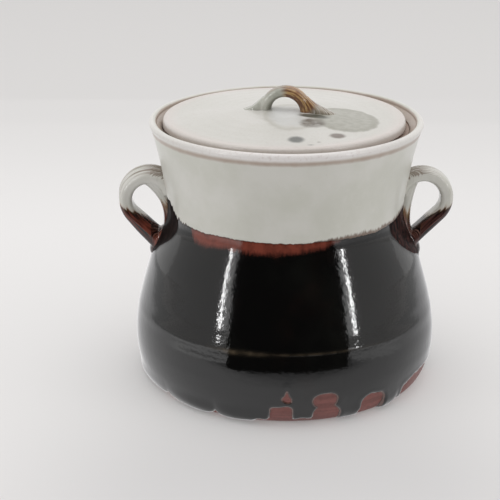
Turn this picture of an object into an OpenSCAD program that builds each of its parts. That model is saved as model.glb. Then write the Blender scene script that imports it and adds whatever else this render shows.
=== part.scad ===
// Lidded water jar: a thrown stoneware jar with two strap ears and a loose lid that drops into the rim.
// Millimetres, +Z up. The origin is the middle of the foot, on the table.
// X runs from ear to ear and -Y is the front.
// Radii and heights of the jar and the lid are those of their clay, and each glaze coat adds its thickness.

/* [Jar wall] */
// Radius of the clay where it stands on the table
foot_radius = 84.4; // [80:0.2:90]
// Largest radius of the belly
belly_radius = 94.2; // [91:0.2:100]
// Height of the largest radius
belly_height = 27; // [24:0.5:36]
// Radius of the shoulder, halfway up the slope to the waist
shoulder_radius = 84.1; // [81:0.1:87]
// Height of the shoulder
shoulder_height = 75; // [70:0.5:80]
// How far the shoulder leans in for each millimetre up
shoulder_lean = 0.28; // [0.2:0.01:0.4]
// Smallest radius, at the waist
waist_radius = 72.5; // [70:0.1:75]
// Height of the waist
waist_height = 106; // [100:0.5:110]
// Radius of the collar just under the rim
neck_radius = 79.5; // [78:0.1:81]
// Distance below the rim at which the collar turns out into it
neck_drop = 13; // [11:0.5:17]
// How far the collar leans out there for each millimetre up
neck_flare = 0.25; // [0.15:0.01:0.35]
// Wall thickness
wall = 6; // [4:0.1:7]
// Thickness of the floor
floor_thickness = 8; // [6:0.5:12]
// Radius of the curve between the floor and the wall inside
floor_curve = 16; // [8:1:24]

/* [Throwing ridge] */
// How far the ridge left by the potter's fingers stands out from the belly
ridge_height = 0.3; // [0:0.1:1]
// Height of the ridge above the table
ridge_position = 46; // [36:1:56]
// Height over which the ridge fades
ridge_spread = 2.5; // [2:0.5:6]

/* [Foot] */
// Width of the ring that stands on the table
foot_ring = 12.9; // [8:0.1:24]
// Depth of the hollow turned inside that ring
hollow_depth = 2.5; // [1:0.1:4]
// Bevel on the foot's inner edge
foot_bevel = 1.5; // [0.5:0.1:3]

/* [Rim and lid ledge] */
// Height of the rim
rim_height = 163.4; // [161:0.1:168]
// Outer radius of the rolled rim
rim_radius = 83; // [81.5:0.1:86]
// Radius of the roll's section
roll_radius = 1.3; // [1.1:0.1:1.8]
// How far the inside of the rim leans out from the ledge up to the roll
rim_flare = 4.6; // [3.5:0.1:5.5]
// Depth below the rim of the ledge that the lid sits on
ledge_depth = 5; // [4.5:0.1:7]
// Width of the ledge
ledge_width = 7.3; // [6:0.1:11]
// Thickness of the ledge at its inner edge
ledge_thickness = 3.5; // [2.5:0.1:5]
// Height of the slope from under the ledge back to the wall
ledge_slope = 8; // [6:0.5:12]

/* [Ears] */
// Distance from the waist's clay out to the middle of the bow
ear_reach = 13.1; // [11.5:0.1:15.5]
// Height of the middle of the bow above the waist
ear_rise = 7.2; // [4:0.1:10]
// Radius of the bow, to the middle of the strap
bow_radius = 15; // [13.5:0.1:16]
// Thickness of the strap
strap_thickness = 8; // [6:0.1:9]
// Width of the strap
strap_width = 14; // [11:0.1:18]
// Distance below the waist at which the outer leg meets the wall
leg_drop = 20; // [17:0.5:24]
// Angle on the bow at which the tail that is smeared down the collar leaves it, in degrees
tail_angle = 119; // [112:1:124]
// Distance below the waist at which that tail meets the wall
tail_drop = 7; // [4:0.5:10]
// How far each side of the tail lies inside the strap's side
tail_inset = 1.5; // [1:0.1:2.5]
// Distance between the two finger grooves along the strap's outside
groove_spacing = 4.4; // [3.4:0.1:6]
// Depth of those grooves
groove_depth = 0.7; // [0.3:0.1:1.2]
// Radius of the grooves' section
groove_radius = 1.5; // [1.3:0.1:1.6]

/* [Glaze coats] */
// Height above the waist of the line where the dark and the pale glaze meet
glaze_rise = 2; // [-2:0.5:8]
// Thickness of the dark glaze on the belly
dark_thickness = 1; // [0.6:0.1:1.6]
// How much thicker the dark glaze is at its lower edge, where it has run
run_thickness = 0.9; // [0:0.1:1.4]
// Height of the dark glaze's lower edge
run_height = 3; // [2:0.5:6]
// Height over which the thickened edge fades
run_spread = 6; // [4:0.5:10]
// Thickness of the pale glaze on the collar and rim
pale_thickness = 1; // [0.6:0.1:1.4]
// Thickness of the glaze inside
liner_thickness = 0.8; // [0.5:0.1:1.4]

/* [Lid] */
// Thickness of the lid's clay
lid_thickness = 5.8; // [4.5:0.1:6.5]
// How far the lid rises towards its middle
lid_rise = 4; // [1:0.1:6]
// Width of the flat ring underneath, which sits on the ledge
seat_width = 6.7; // [4.5:0.1:12]
// Thickness of the lid's glaze
lid_glaze_thickness = 0.8; // [0.5:0.1:1]
// Gap all round between the glazed lid and the wall above the ledge
lid_clearance = 1.4; // [0.8:0.1:1.8]

/* [Lid loop] */
// Radius of the arch, to the middle of the strap
arch_radius = 12.8; // [11:0.1:15]
// Height of the arch's middle above the lid's glazed top, less than 0 for a low arch
arch_lift = -1.4; // [-2.5:0.1:2]
// Thickness of the loop's strap
loop_thickness = 7; // [5:0.1:8]
// Width of the loop's strap
loop_width = 11; // [9:0.1:14]
// Turn of the loop about the jar's axis, in degrees
loop_turn = -12; // [-180:1:180]
// Distance of each smeared foot from the axis
smear_distance = 19; // [17:0.5:21]
// Radius of each smeared foot on the lid
smear_radius = 8.5; // [7:0.5:10]
// Height of each smeared foot
smear_height = 2.6; // [2:0.1:3.5]

/* [Hidden] */
$fn = 96;
// Bare windows along the foot: angle from the front towards the right, width, and height of the top
bare_windows = [[-2.4, 14, 13.5], [14.2, 16, 21.5], [34.5, 19, 17.4], [64, 26, 18.5],
                [152, 15, 11], [206, 18, 15], [251, 14, 12]];
// Height step of the turned outlines
outline_step = 3;
// Step of the heel's outline and of the curve inside it, in degrees
heel_step = 10;
// Outline points that lie closer together than this count as one
same_point = 0.01;
// Steps along each rounded edge of a turned outline
edge_steps = 16;
// Steps across the lid's dome
dome_steps = 12;
// Angle on the roll at which the collar's outline meets it
roll_start = -25;
// How far a cutting shape reaches past what it cuts
cut_past = 10;

hollow_radius = foot_radius - foot_ring - foot_bevel;
neck_height = rim_height - neck_drop;
roll_centre = [rim_radius - roll_radius, rim_height - roll_radius];
roll_meeting = roll_centre + roll_radius * [cos(roll_start), sin(roll_start)];
gallery_radius = rim_radius - 2 * roll_radius - rim_flare;
ledge_height = rim_height - ledge_depth;
ledge_radius = gallery_radius - ledge_width;
inside_top = ledge_height - ledge_thickness - ledge_slope;
glaze_line = waist_height + glaze_rise;
bow_middle = [waist_radius + ear_reach, waist_height + ear_rise];
// From the bow's middle to where the outer leg meets the wall, and the leg's lean as a tangent to the bow
leg_aim = [wall_radius(waist_height - leg_drop), waist_height - leg_drop] - bow_middle;
leg_lean = -atan2(leg_aim[1], leg_aim[0]) - acos(bow_radius / norm(leg_aim));
// From where the tail meets the wall up to its top on the bow
tail_top = bow_middle + bow_radius * [cos(tail_angle), sin(tail_angle)];
tail_aim = tail_top - [wall_radius(waist_height - tail_drop), waist_height - tail_drop];
lid_radius = gallery_radius - lid_clearance - lid_glaze_thickness;
lid_edge = lid_thickness / 2;
lid_flat = lid_radius - lid_edge;
lid_bottom = ledge_height;
lid_top = lid_bottom + lid_thickness;
seat_radius = lid_flat - seat_width;
// The leg and the tail of an ear end inside the wall, which trims them
leg_length = norm(leg_aim) + strap_thickness;
// Angle on the bow at which its upper end lies inside the wall
bow_end = 160;

// Cubic in z from radius r0 and slope m0 at z0 to radius r1 and slope m1 at z1
function cubic(z, z0, r0, m0, z1, r1, m1) =
    let (h = z1 - z0, u = (z - z0) / h)
    r0 * (2 * u * u * u - 3 * u * u + 1) + r1 * (3 * u * u - 2 * u * u * u)
        + h * m0 * (u * u * u - 2 * u * u + u) + h * m1 * (u * u * u - u * u);

// Radius of the wall at height z without the throwing ridge: a quarter ellipse from the foot to the belly,
// then cubics over the shoulder, the waist and the collar to the roll of the rim
function smooth_radius(z) =
    z < belly_height ?
        foot_radius + (belly_radius - foot_radius) * sqrt(1 - pow(1 - z / belly_height, 2))
    : z < shoulder_height ?
        cubic(z, belly_height, belly_radius, 0, shoulder_height, shoulder_radius, -shoulder_lean)
    : z < waist_height ?
        cubic(z, shoulder_height, shoulder_radius, -shoulder_lean, waist_height, waist_radius, 0)
    : z < neck_height ?
        cubic(z, waist_height, waist_radius, 0, neck_height, neck_radius, neck_flare)
    : cubic(z, neck_height, neck_radius, neck_flare, roll_meeting[1], roll_meeting[0], -tan(roll_start));

// Radius of the wall's outside at height z
function wall_radius(z) =
    smooth_radius(z) + ridge_height * exp(-pow((z - ridge_position) / ridge_spread, 2));

// Heights from one to another in even steps
function heights(from, to, step) =
    let (n = ceil(abs(to - from) / step))
    [for (i = [0 : n]) from + (to - from) * i / n];

// Heights of points on the heel's quarter ellipse between two angles
function heel_heights(from, to) = [for (a = heights(from, to, heel_step)) belly_height * (1 - cos(a))];

// Angle on that ellipse at which the dark glaze ends
run_angle = acos(1 - run_height / belly_height);

// Heights of the wall's outline points, with one at the edge of each coat so that clay and coat share it
wall_heights = concat(heel_heights(0, run_angle),
                      heel_heights(run_angle, 90),
                      heights(belly_height, glaze_line, outline_step),
                      heights(glaze_line, neck_height, outline_step),
                      heights(neck_height, roll_meeting[1], outline_step / 2));

// Points of the wall's outside between two heights, moved out by a coat
function wall_points(low, high, coat = 0) =
    let (between = [for (z = wall_heights) if (z > low + same_point && z < high - same_point) z],
         steps = [for (i = [0 : len(between) - 1])
                     if (i == 0 || between[i] > between[i - 1] + same_point) between[i]])
    [for (z = concat([low], steps, [high])) [wall_radius(z) + coat, z]];

// Points of the roll from the collar over the rim to the inside, moved out by a coat
function roll_points(coat = 0) =
    [for (i = [0 : edge_steps]) let (a = roll_start + (180 - roll_start) * i / edge_steps)
        roll_centre + (roll_radius + coat) * [cos(a), sin(a)]];

// Points of the inside from under the ledge down to the middle of the floor, moved in by a coat
function inside_points(coat = 0) =
    let (curve_top = floor_thickness + floor_curve,
         curve_middle = wall_radius(curve_top) - wall - floor_curve)
    concat([for (z = heights(inside_top, curve_top, outline_step)) [wall_radius(z) - wall - coat, z]],
           [for (a = without_first(heights(0, 90, heel_step)))
               [curve_middle, curve_top] + (floor_curve - coat) * [cos(a), -sin(a)]],
           [[0, floor_thickness + coat]]);

// Thickness of the dark glaze at height z, which grows towards its lower edge
function dark_coat(z) = dark_thickness + run_thickness * exp(-pow((z - run_height) / run_spread, 2));

// Rise of the lid at radius r, flat at the middle and at the radius where it starts
function lid_dome(r, start) = lid_rise * pow(1 - pow(r / start, 2), 2);

// Points of the lid's top from the middle out to where its edge rounds over, raised by a coat
function lid_top_points(coat = 0) =
    [for (i = [0 : dome_steps]) let (r = lid_flat * i / dome_steps)
        [r, lid_top + coat + lid_dome(r, lid_flat)]];

// Points of the lid's rounded edge from its top down to an angle, moved out by a coat
function lid_edge_points(to, coat = 0) =
    [for (i = [1 : edge_steps]) let (a = 90 + (to - 90) * i / edge_steps)
        [lid_flat, lid_bottom + lid_edge] + (lid_edge + coat) * [cos(a), sin(a)]];

// Points of the lid's underside from the flat ring in to the middle
lid_under_points = [for (i = [dome_steps : -1 : 0]) let (r = seat_radius * i / dome_steps)
    [r, lid_bottom + lid_dome(r, seat_radius)]];

function without_first(list) = [for (i = [1 : len(list) - 1]) list[i]];

function reversed(list) = [for (i = [len(list) - 1 : -1 : 0]) list[i]];

// Everything inside the wall's outer surface
module wall_core() {
    rotate_extrude()
        polygon(concat([[0, 0]], wall_points(0, roll_meeting[1]), [[0, roll_meeting[1]]]));
}

module jar_body() {
    color([0.45, 0.28, 0.23])
    rotate_extrude()
        polygon(concat(
            [[0, hollow_depth], [hollow_radius, hollow_depth], [hollow_radius + foot_bevel, 0]],
            wall_points(0, roll_meeting[1]),
            without_first(roll_points()),
            [[gallery_radius, ledge_height],
             [ledge_radius, ledge_height],
             [ledge_radius, ledge_height - ledge_thickness]],
            inside_points()));
}

// A flat strap's section with round edges, its thickness along X
module strap_section(thickness, width) {
    square([thickness, width - thickness], center = true);
    for (side = [-1, 1])
        translate([0, side * (width - thickness) / 2])
            circle(d = thickness);
}

// The ears' section, with two finger grooves along the outside, which faces +X
module ear_section() {
    difference() {
        strap_section(strap_thickness, strap_width);
        for (side = [-1, 1])
            translate([strap_thickness / 2 + groove_radius - groove_depth, side * groove_spacing / 2])
                circle(r = groove_radius);
    }
}

// The section of an ear's tail, round outside, with straight sides that run into the wall along +X
module tail_section() {
    tail_width = strap_width - 2 * tail_inset;
    circle(d = tail_width);
    translate([0, -tail_width / 2])
        square(tail_width);
}

// The whole strap on the +X side before it is trimmed to the wall: the bow, the straight outer leg that it
// runs down into, and the tail smeared down the collar from its upper end
module ear_strap() {
    translate([bow_middle[0], 0, bow_middle[1]])
        rotate([90, 0, 0])
            rotate([0, 0, -leg_lean]) {
                rotate_extrude(angle = bow_end + leg_lean)
                    translate([bow_radius, 0])
                        ear_section();
                translate([bow_radius, 0, 0])
                    rotate([90, 0, 0])
                        linear_extrude(leg_length)
                            ear_section();
            }
    translate([tail_top[0], 0, tail_top[1]])
        rotate([0, 180 + atan2(tail_aim[0], tail_aim[1]), 0])
            linear_extrude(norm(tail_aim) + strap_thickness)
                tail_section();
}

module right_ear() {
    color([0.66, 0.65, 0.6])
    difference() {
        ear_strap();
        wall_core();
    }
}

module left_ear() {
    mirror([1, 0, 0])
        right_ear();
}

// Both straps, cut out of the coats that run round them
module ear_straps() {
    ear_strap();
    mirror([1, 0, 0])
        ear_strap();
}

// An arched window through the coat at an angle from the front towards the right
module bare_window(angle, width, top) {
    arch_height = top - width / 2;
    rotate([90, 0, angle])
        translate([0, 0, foot_radius - cut_past])
            linear_extrude(belly_radius - foot_radius + 2 * cut_past) {
                translate([0, arch_height])
                    circle(d = width);
                translate([-width / 2, -cut_past])
                    square([width, arch_height + cut_past]);
            }
}

module dark_glaze() {
    clay_side = wall_points(run_height, glaze_line);
    color([0.05, 0.035, 0.03])
    difference() {
        rotate_extrude()
            polygon(concat(clay_side, [for (p = reversed(clay_side)) p + [dark_coat(p[1]), 0]]));
        ear_straps();
        for (w = bare_windows)
            bare_window(w[0], w[1], w[2]);
    }
}

module pale_glaze() {
    color([0.7, 0.7, 0.65])
    difference() {
        rotate_extrude()
            polygon(concat(
                wall_points(glaze_line, roll_meeting[1]),
                without_first(roll_points()),
                reversed(roll_points(pale_thickness)),
                reversed(wall_points(glaze_line, neck_height, pale_thickness))));
        ear_straps();
    }
}

module liner_glaze() {
    color([0.62, 0.6, 0.55])
    rotate_extrude()
        polygon(concat(inside_points(), reversed(inside_points(liner_thickness))));
}

module lid_plate() {
    color([0.5, 0.34, 0.28])
    rotate_extrude()
        polygon(concat(lid_top_points(), lid_edge_points(-90), lid_under_points));
}

// The lid's loop, whose two legs and smeared feet reach down into the lid
module loop_strap() {
    leg_depth = arch_lift + lid_glaze_thickness + lid_edge;
    cap_radius = (pow(smear_radius, 2) + pow(smear_height, 2)) / (2 * smear_height);
    smear_base = lid_top + lid_glaze_thickness + lid_dome(smear_distance, lid_flat);
    rotate([0, 0, loop_turn]) {
        translate([0, 0, lid_top + lid_glaze_thickness + lid_rise + arch_lift]) {
            rotate([90, 0, 0])
                rotate_extrude(angle = 180)
                    translate([arch_radius, 0])
                        strap_section(loop_thickness, loop_width);
            for (side = [-1, 1])
                translate([side * arch_radius, 0, -leg_depth])
                    linear_extrude(leg_depth)
                        strap_section(loop_thickness, loop_width);
        }
        for (side = [-1, 1])
            translate([side * smear_distance, 0, smear_base])
                intersection() {
                    translate([0, 0, smear_height - cap_radius])
                        sphere(cap_radius);
                    translate([0, 0, -lid_edge])
                        cylinder(h = lid_edge + smear_height + cut_past, r = smear_radius + cut_past);
                }
    }
}

module lid_glaze() {
    color([0.78, 0.78, 0.74])
    difference() {
        rotate_extrude()
            polygon(concat(
                lid_top_points(),
                lid_edge_points(0),
                reversed(lid_edge_points(0, lid_glaze_thickness)),
                reversed(lid_top_points(lid_glaze_thickness))));
        loop_strap();
    }
}

module lid_loop() {
    color([0.62, 0.55, 0.42])
    difference() {
        loop_strap();
        lid_plate();
    }
}

jar_body();
left_ear();
right_ear();
dark_glaze();
pale_glaze();
liner_glaze();
lid_plate();
lid_glaze();
lid_loop();
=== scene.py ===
"""Looks of a lidded water jar: thrown stoneware, two glazes, pulled ears and a loose lid with a loop.

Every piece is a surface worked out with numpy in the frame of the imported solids, in metres.
X runs from ear to ear, -Y is the front and +Z is up. Azimuths are measured from the front towards +X.
"""

import math

import bpy
import numpy as np
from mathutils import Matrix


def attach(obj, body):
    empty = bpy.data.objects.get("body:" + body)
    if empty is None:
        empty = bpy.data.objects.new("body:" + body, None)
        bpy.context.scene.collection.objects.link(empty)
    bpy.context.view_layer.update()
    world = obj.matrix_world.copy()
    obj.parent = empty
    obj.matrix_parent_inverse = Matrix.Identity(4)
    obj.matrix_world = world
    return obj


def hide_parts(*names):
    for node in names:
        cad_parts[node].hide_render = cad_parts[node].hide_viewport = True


bl_info = {
    "name": "Lidded water jar",
    "version": (1, 0, 0),
    "blender": (4, 5, 0),
    "location": "View3D > Sidebar > Water jar",
    "description": "Builds the clay, glazes, ears, lid and stage of a lidded stoneware water jar",
    "category": "Object",
}

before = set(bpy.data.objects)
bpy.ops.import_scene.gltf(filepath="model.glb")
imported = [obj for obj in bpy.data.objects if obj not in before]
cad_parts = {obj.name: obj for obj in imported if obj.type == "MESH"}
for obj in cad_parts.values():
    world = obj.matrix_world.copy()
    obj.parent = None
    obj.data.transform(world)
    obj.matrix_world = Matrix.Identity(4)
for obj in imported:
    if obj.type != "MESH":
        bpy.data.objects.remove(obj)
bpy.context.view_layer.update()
MM = 0.001
TURN = 2 * math.pi


# Settings

def length(name, description, default):
    """A size in metres."""
    return bpy.props.FloatProperty(name=name, description=description, default=default, unit="LENGTH",
                                   precision=4)


def angle_of(name, description, degrees):
    """An angle, given in degrees."""
    return bpy.props.FloatProperty(name=name, description=description, default=math.radians(degrees),
                                   subtype="ANGLE")


def number(name, description, default):
    """A plain number."""
    return bpy.props.FloatProperty(name=name, description=description, default=default)


def colour(name, description, default):
    """A colour as linear red, green and blue."""
    return bpy.props.FloatVectorProperty(name=name, description=description, default=default,
                                         subtype="COLOR", size=3, min=0, max=1)


class JarSizes(bpy.types.PropertyGroup):
    """Sizes of the thrown jar, to its clay."""

    foot_radius: length("Foot radius", "Radius of the clay on the table", 84.4 * MM)
    belly_radius: length("Belly radius", "Largest radius", 94.2 * MM)
    belly_height: length("Belly height", "Height of the largest radius", 27 * MM)
    shoulder_radius: length("Shoulder radius", "Radius halfway up the shoulder", 84.1 * MM)
    shoulder_height: length("Shoulder height", "Height of that radius", 75 * MM)
    shoulder_lean: number("Shoulder lean", "How far the shoulder leans in for each unit up", 0.28)
    waist_radius: length("Waist radius", "Smallest radius", 72.5 * MM)
    waist_height: length("Waist height", "Height of the smallest radius", 106 * MM)
    neck_radius: length("Neck radius", "Radius of the collar under the rim", 79.5 * MM)
    neck_height: length("Neck height", "Height at which the collar turns out", 150.4 * MM)
    neck_flare: number("Neck flare", "How far the collar leans out there for each unit up", 0.25)
    rim_radius: length("Rim radius", "Outer radius of the rolled rim", 83 * MM)
    rim_height: length("Rim height", "Height of the rim", 163.4 * MM)
    roll_radius: length("Roll radius", "Radius of the rim's rolled section", 1.3 * MM)
    gallery_radius: length("Gallery radius", "Radius inside the rim, above the ledge", 75.8 * MM)
    ledge_height: length("Ledge height", "Height of the ledge under the lid", 158.4 * MM)
    ledge_radius: length("Ledge radius", "Inner radius of the ledge", 68.5 * MM)
    ledge_thickness: length("Ledge thickness", "Thickness of the ledge at its edge", 3.5 * MM)
    ledge_slope: length("Ledge slope", "Height of the slope under the ledge", 8 * MM)
    wall: length("Wall", "Thickness of the wall", 6 * MM)
    floor_thickness: length("Floor", "Thickness of the floor", 8 * MM)
    floor_curve: length("Floor curve", "Radius of the curve between floor and wall", 16 * MM)
    hollow_radius: length("Hollow radius", "Radius of the hollow under the foot", 70 * MM)
    hollow_depth: length("Hollow depth", "Depth of the hollow under the foot", 2.5 * MM)
    ridge_height: length("Ridge", "How far the throwing ridge stands out", 0.16 * MM)
    ridge_position: length("Ridge height", "Height of the throwing ridge", 46.2 * MM)
    ridge_spread: length("Ridge spread", "Height over which the ridge fades", 0.8 * MM)


class EarSizes(bpy.types.PropertyGroup):
    """Sizes of the two pulled ears."""

    bow_distance: length("Bow distance", "From the axis to the middle of the bow", 85.6 * MM)
    bow_height: length("Bow height", "Height of the middle of the bow", 113.2 * MM)
    bow_radius: length("Bow radius", "Radius of the bow, to the middle of the strap", 15 * MM)
    strap_thickness: length("Thickness", "Thickness of the strap", 8.3 * MM)
    strap_width: length("Width", "Width of the strap", 14.5 * MM)
    leg_lean: angle_of("Leg lean", "Lean of the outer leg from the vertical", 45.3)
    tail_width: length("Tail width", "Width of the tail smeared down the collar", 11 * MM)
    groove_spacing: length("Groove spacing", "Distance between the finger grooves", 4.4 * MM)
    groove_depth: length("Groove depth", "Depth of the finger grooves", 0.8 * MM)
    root_twist: angle_of("Root twist", "Twist of the left ear's strap at its root", 18)
    foot_twist: angle_of("Foot twist", "Twist of the left ear's strap at its foot", -12)
    left_tuck: length("Left tuck", "How far the left bow is drawn in", 0.6 * MM)
    left_drop: length("Left drop", "How far the left bow hangs lower", 0.5 * MM)
    left_swollen: length("Left leg", "How much thicker the left ear's leg is", 1.2 * MM)


class LidSizes(bpy.types.PropertyGroup):
    """Sizes of the lid and its loop."""

    radius: length("Radius", "Radius of the lid's clay", 73.6 * MM)
    bottom: length("Seat height", "Height of the lid's seat", 158.4 * MM)
    thickness: length("Thickness", "Thickness of the lid's clay", 5.8 * MM)
    rise: length("Rise", "How far the lid rises towards its middle", 4 * MM)
    seat_radius: length("Seat radius", "Inner radius of the flat ring underneath", 64 * MM)
    glaze: length("Glaze", "Thickness of the lid's glaze", 0.8 * MM)
    arch_radius: length("Arch radius", "Radius of the loop's arch", 12.8 * MM)
    arch_lift: length("Arch lift", "Height of the arch's middle above the lid", -1.4 * MM)
    loop_thickness: length("Loop thickness", "Thickness of the loop's strap", 7 * MM)
    loop_width: length("Loop width", "Width of the loop's strap", 11 * MM)
    loop_turn: angle_of("Loop turn", "Turn of the loop about the jar's axis", -12)
    loop_shift: length("Loop shift", "How far the loop stands to the right of the lid's middle", 1.0 * MM)
    shift_x: length("Shift across", "How far the loose lid lies to the right in its seat", -1.2 * MM)
    shift_y: length("Shift back", "How far the loose lid lies to the back in its seat", 0.6 * MM)


class GlazeLooks(bpy.types.PropertyGroup):
    """Colours of the clay and the glazes."""

    clay: colour("Clay", "Bare stoneware", (0.214, 0.071, 0.060))
    clay_dark: colour("Scorched clay", "Darker flecks and turning lines", (0.106, 0.035, 0.029))
    black: colour("Black glaze", "The dark glaze where it is thick", (0.0034, 0.0033, 0.0032))
    brown: colour("Brown glaze", "The dark glaze where it is thin", (0.050, 0.016, 0.009))
    blush: colour("Blush", "The glaze's thin edge round the bare clay", (0.360, 0.215, 0.185))
    rust: colour("Rust", "The iron-red band under the pale glaze", (0.200, 0.048, 0.031))
    pale: colour("Pale glaze", "The pale grey-green glaze", (0.575, 0.574, 0.514))
    milk: colour("Milky glaze", "The pale glaze where it is thick", (0.660, 0.650, 0.610))
    # Tan also lays painted shade on the collar: under the rim's roll, in the gallery and round the ears'
    # roots
    tan: colour("Tan", "The pale glaze where it breaks on an edge", (0.360, 0.262, 0.205))
    ash: colour("Ash", "Grey-green where the pale glaze has pooled", (0.360, 0.350, 0.290))
    ochre: colour("Ochre", "Yellow-brown where the two glazes meet on the ears", (0.330, 0.175, 0.060))
    floor: colour("Floor", "The pale studio floor", (0.612, 0.602, 0.598))


class StageSizes(bpy.types.PropertyGroup):
    """The camera's place and the strength of the studio light."""

    camera_place: bpy.props.FloatVectorProperty(
        name="Camera place", description="Where the camera stands", size=3, subtype="TRANSLATION",
        default=(-0.0221, -0.8451, 0.3871))
    camera_tilt: angle_of("Camera tilt", "How far the camera looks down", 20.13)
    focal_length: number("Focal length", "Focal length for a 36 mm wide picture, in millimetres", 102.2)
    daylight: number("Room light", "Strength of the light from all sides", 0.74)
    overhead: number("Overhead light", "Power of the large light overhead, in watts", 16)
    walls: number("Side light", "Power of the two large lights at the sides, in watts", 1.2)
    screens: number("White screens", "Brightness of the white floor and screen that the glazes mirror", 1.05)
    tube: number("Tube lights", "Brightness of the two tall strip lights", 38)


class JarSettings(bpy.types.PropertyGroup):
    """All settings of the water jar."""

    jar: bpy.props.PointerProperty(type=JarSizes)
    ear: bpy.props.PointerProperty(type=EarSizes)
    lid: bpy.props.PointerProperty(type=LidSizes)
    look: bpy.props.PointerProperty(type=GlazeLooks)
    stage: bpy.props.PointerProperty(type=StageSizes)


# Shapes

# Angle on the rim's roll at which the collar runs into it
ROLL_START = math.radians(-25)
# Thickness of the glazes, and depth of their hidden backs inside the clay
DARK_COAT = 0.66 * MM
PALE_COAT = 0.95 * MM
LINER_COAT = 0.8 * MM
COAT_BACK = 1.2 * MM
LINER_BACK = 0.4 * MM
# Radius at which a turned surface hands over to the fan that closes it on the axis
POLE = 0.5 * MM
# Points round a strap's section, and the grid on which straps are blended
STRAP_COLUMNS = 64
VOXEL = 0.5 * MM


def ripple(angle, height, seed, turns, rise, terms=14):
    """Smooth unevenness of about one either way: a sum of sine waves, each with a whole number of
    waves round the jar, up to turns, and up to rise radians for each metre of height."""
    chance = np.random.default_rng(seed)
    total = np.zeros(np.broadcast(angle, height).shape)
    for _ in range(terms):
        waves = chance.integers(1, turns + 1)
        climb = chance.uniform(-rise, rise)
        total = total + np.sin(waves * angle + climb * height + chance.uniform(0, TURN))
    return total / math.sqrt(terms / 2)


def step(low, high, x):
    """Smooth step: 0 at low, 1 at high and a cubic between. It falls with x where low is above high."""
    t = np.clip((x - low) / (high - low), 0, 1)
    return t * t * (3 - 2 * t)


def swell(x, middle, spread):
    """Gaussian swell of height one at middle."""
    return np.exp(-((x - middle) / spread) ** 2)


def quarter_round(x, width):
    """Quarter of an ellipse: up steeply from 0 at x = 0, levelling out to 1 at x = width."""
    return np.sqrt(np.clip(1 - (1 - np.clip(x / width, 0, 1)) ** 2, 0, 1))


def signed_power(x, power):
    """The size of x raised to a power, with the sign of x."""
    return np.sign(x) * np.abs(x) ** power


def apart(angle, azimuth):
    """Signed angle from an azimuth, the short way round."""
    return (angle - azimuth + math.pi) % TURN - math.pi


def hermite(z, z0, r0, m0, z1, r1, m1):
    """Cubic in z from radius r0 with slope m0 at z0 to radius r1 with slope m1 at z1."""
    h = z1 - z0
    u = (z - z0) / h
    return (r0 * (2 * u ** 3 - 3 * u ** 2 + 1) + r1 * (3 * u ** 2 - 2 * u ** 3)
            + h * m0 * (u ** 3 - 2 * u ** 2 + u) + h * m1 * (u ** 3 - u ** 2))


def roll_middle(jar):
    """Radius and height of the middle of the rim's roll."""
    return jar.rim_radius - jar.roll_radius, jar.rim_height - jar.roll_radius


def roll_meeting(jar):
    """Radius and height at which the collar runs into the roll."""
    r, z = roll_middle(jar)
    return r + jar.roll_radius * math.cos(ROLL_START), z + jar.roll_radius * math.sin(ROLL_START)


def wall_radius(jar, z):
    """Radius of the clay's outside at height z: a quarter ellipse from the foot to the belly, then cubics
    over the shoulder, the waist and the collar to the roll."""
    meet_r, meet_z = roll_meeting(jar)
    heel = jar.foot_radius + (jar.belly_radius - jar.foot_radius) * quarter_round(z, jar.belly_height)
    shoulder = hermite(z, jar.belly_height, jar.belly_radius, 0,
                       jar.shoulder_height, jar.shoulder_radius, -jar.shoulder_lean)
    slope = hermite(z, jar.shoulder_height, jar.shoulder_radius, -jar.shoulder_lean,
                    jar.waist_height, jar.waist_radius, 0)
    collar = hermite(z, jar.waist_height, jar.waist_radius, 0,
                     jar.neck_height, jar.neck_radius, jar.neck_flare)
    lip = hermite(z, jar.neck_height, jar.neck_radius, jar.neck_flare,
                  meet_z, meet_r, -math.tan(ROLL_START))
    return np.select(
        [z < jar.belly_height, z < jar.shoulder_height, z < jar.waist_height, z < jar.neck_height],
        [heel, shoulder, slope, collar], lip)


def thrown(angle, z):
    """How far the thrown wall departs from a true circle: finger rings that climb round the jar, strongest
    on the belly, and a slow unevenness."""
    rings = np.sin(TURN * z / (11 * MM) + angle) + 0.3 * np.sin(TURN * z / (6.3 * MM) + angle + 1.3)
    strength = 0.021 * MM + 0.018 * MM * swell(z, 40 * MM, 16 * MM)
    uneven = 0.7 + 0.3 * ripple(angle, z, 3, 4, 40)
    return strength * rings * uneven + 0.06 * MM * ripple(angle, z, 5, 3, 25)


def azimuths(count):
    """A row of evenly spaced azimuths all the way round."""
    return np.linspace(-math.pi, math.pi, count, endpoint=False)[None, :]


def heel_heights(jar, start, count):
    """Heights from the heel, at an angle of its quarter ellipse, up to the belly."""
    return jar.belly_height * (1 - np.cos(np.linspace(start, math.pi / 2, count)))


def turned(angle, radius, height):
    """Points of a turned surface from azimuth, radius and height, each a grid or broadcast to one."""
    angle, radius, height = np.broadcast_arrays(angle, radius, height)
    return np.stack([radius * np.sin(angle), -radius * np.cos(angle), height], axis=-1)


def chain(*pieces):
    """Joins rows of outline points."""
    return np.concatenate([np.atleast_2d(p) for p in pieces])


def line(start, end, count):
    """Evenly spaced points from start to end."""
    t = np.linspace(0, 1, count)[:, None]
    return np.asarray(start) * (1 - t) + np.asarray(end) * t


def arc(middle, radius, start, end, count):
    """Points on a circle's arc, its angles in radians."""
    a = np.linspace(start, end, count)
    return np.stack([middle[0] + radius * np.cos(a), middle[1] + radius * np.sin(a)], axis=-1)


def run_length(path):
    """Distance run along a row of points, from its first."""
    return np.concatenate([[0], np.cumsum(np.linalg.norm(np.diff(path, axis=0), axis=1))])


def left_of(path):
    """Unit directions at right angles to a flat path, on the left of its run."""
    along = np.gradient(path, axis=0)
    along = along / np.linalg.norm(along, axis=1, keepdims=True)
    return np.stack([-along[:, 1], along[:, 0]], axis=-1)


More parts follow.
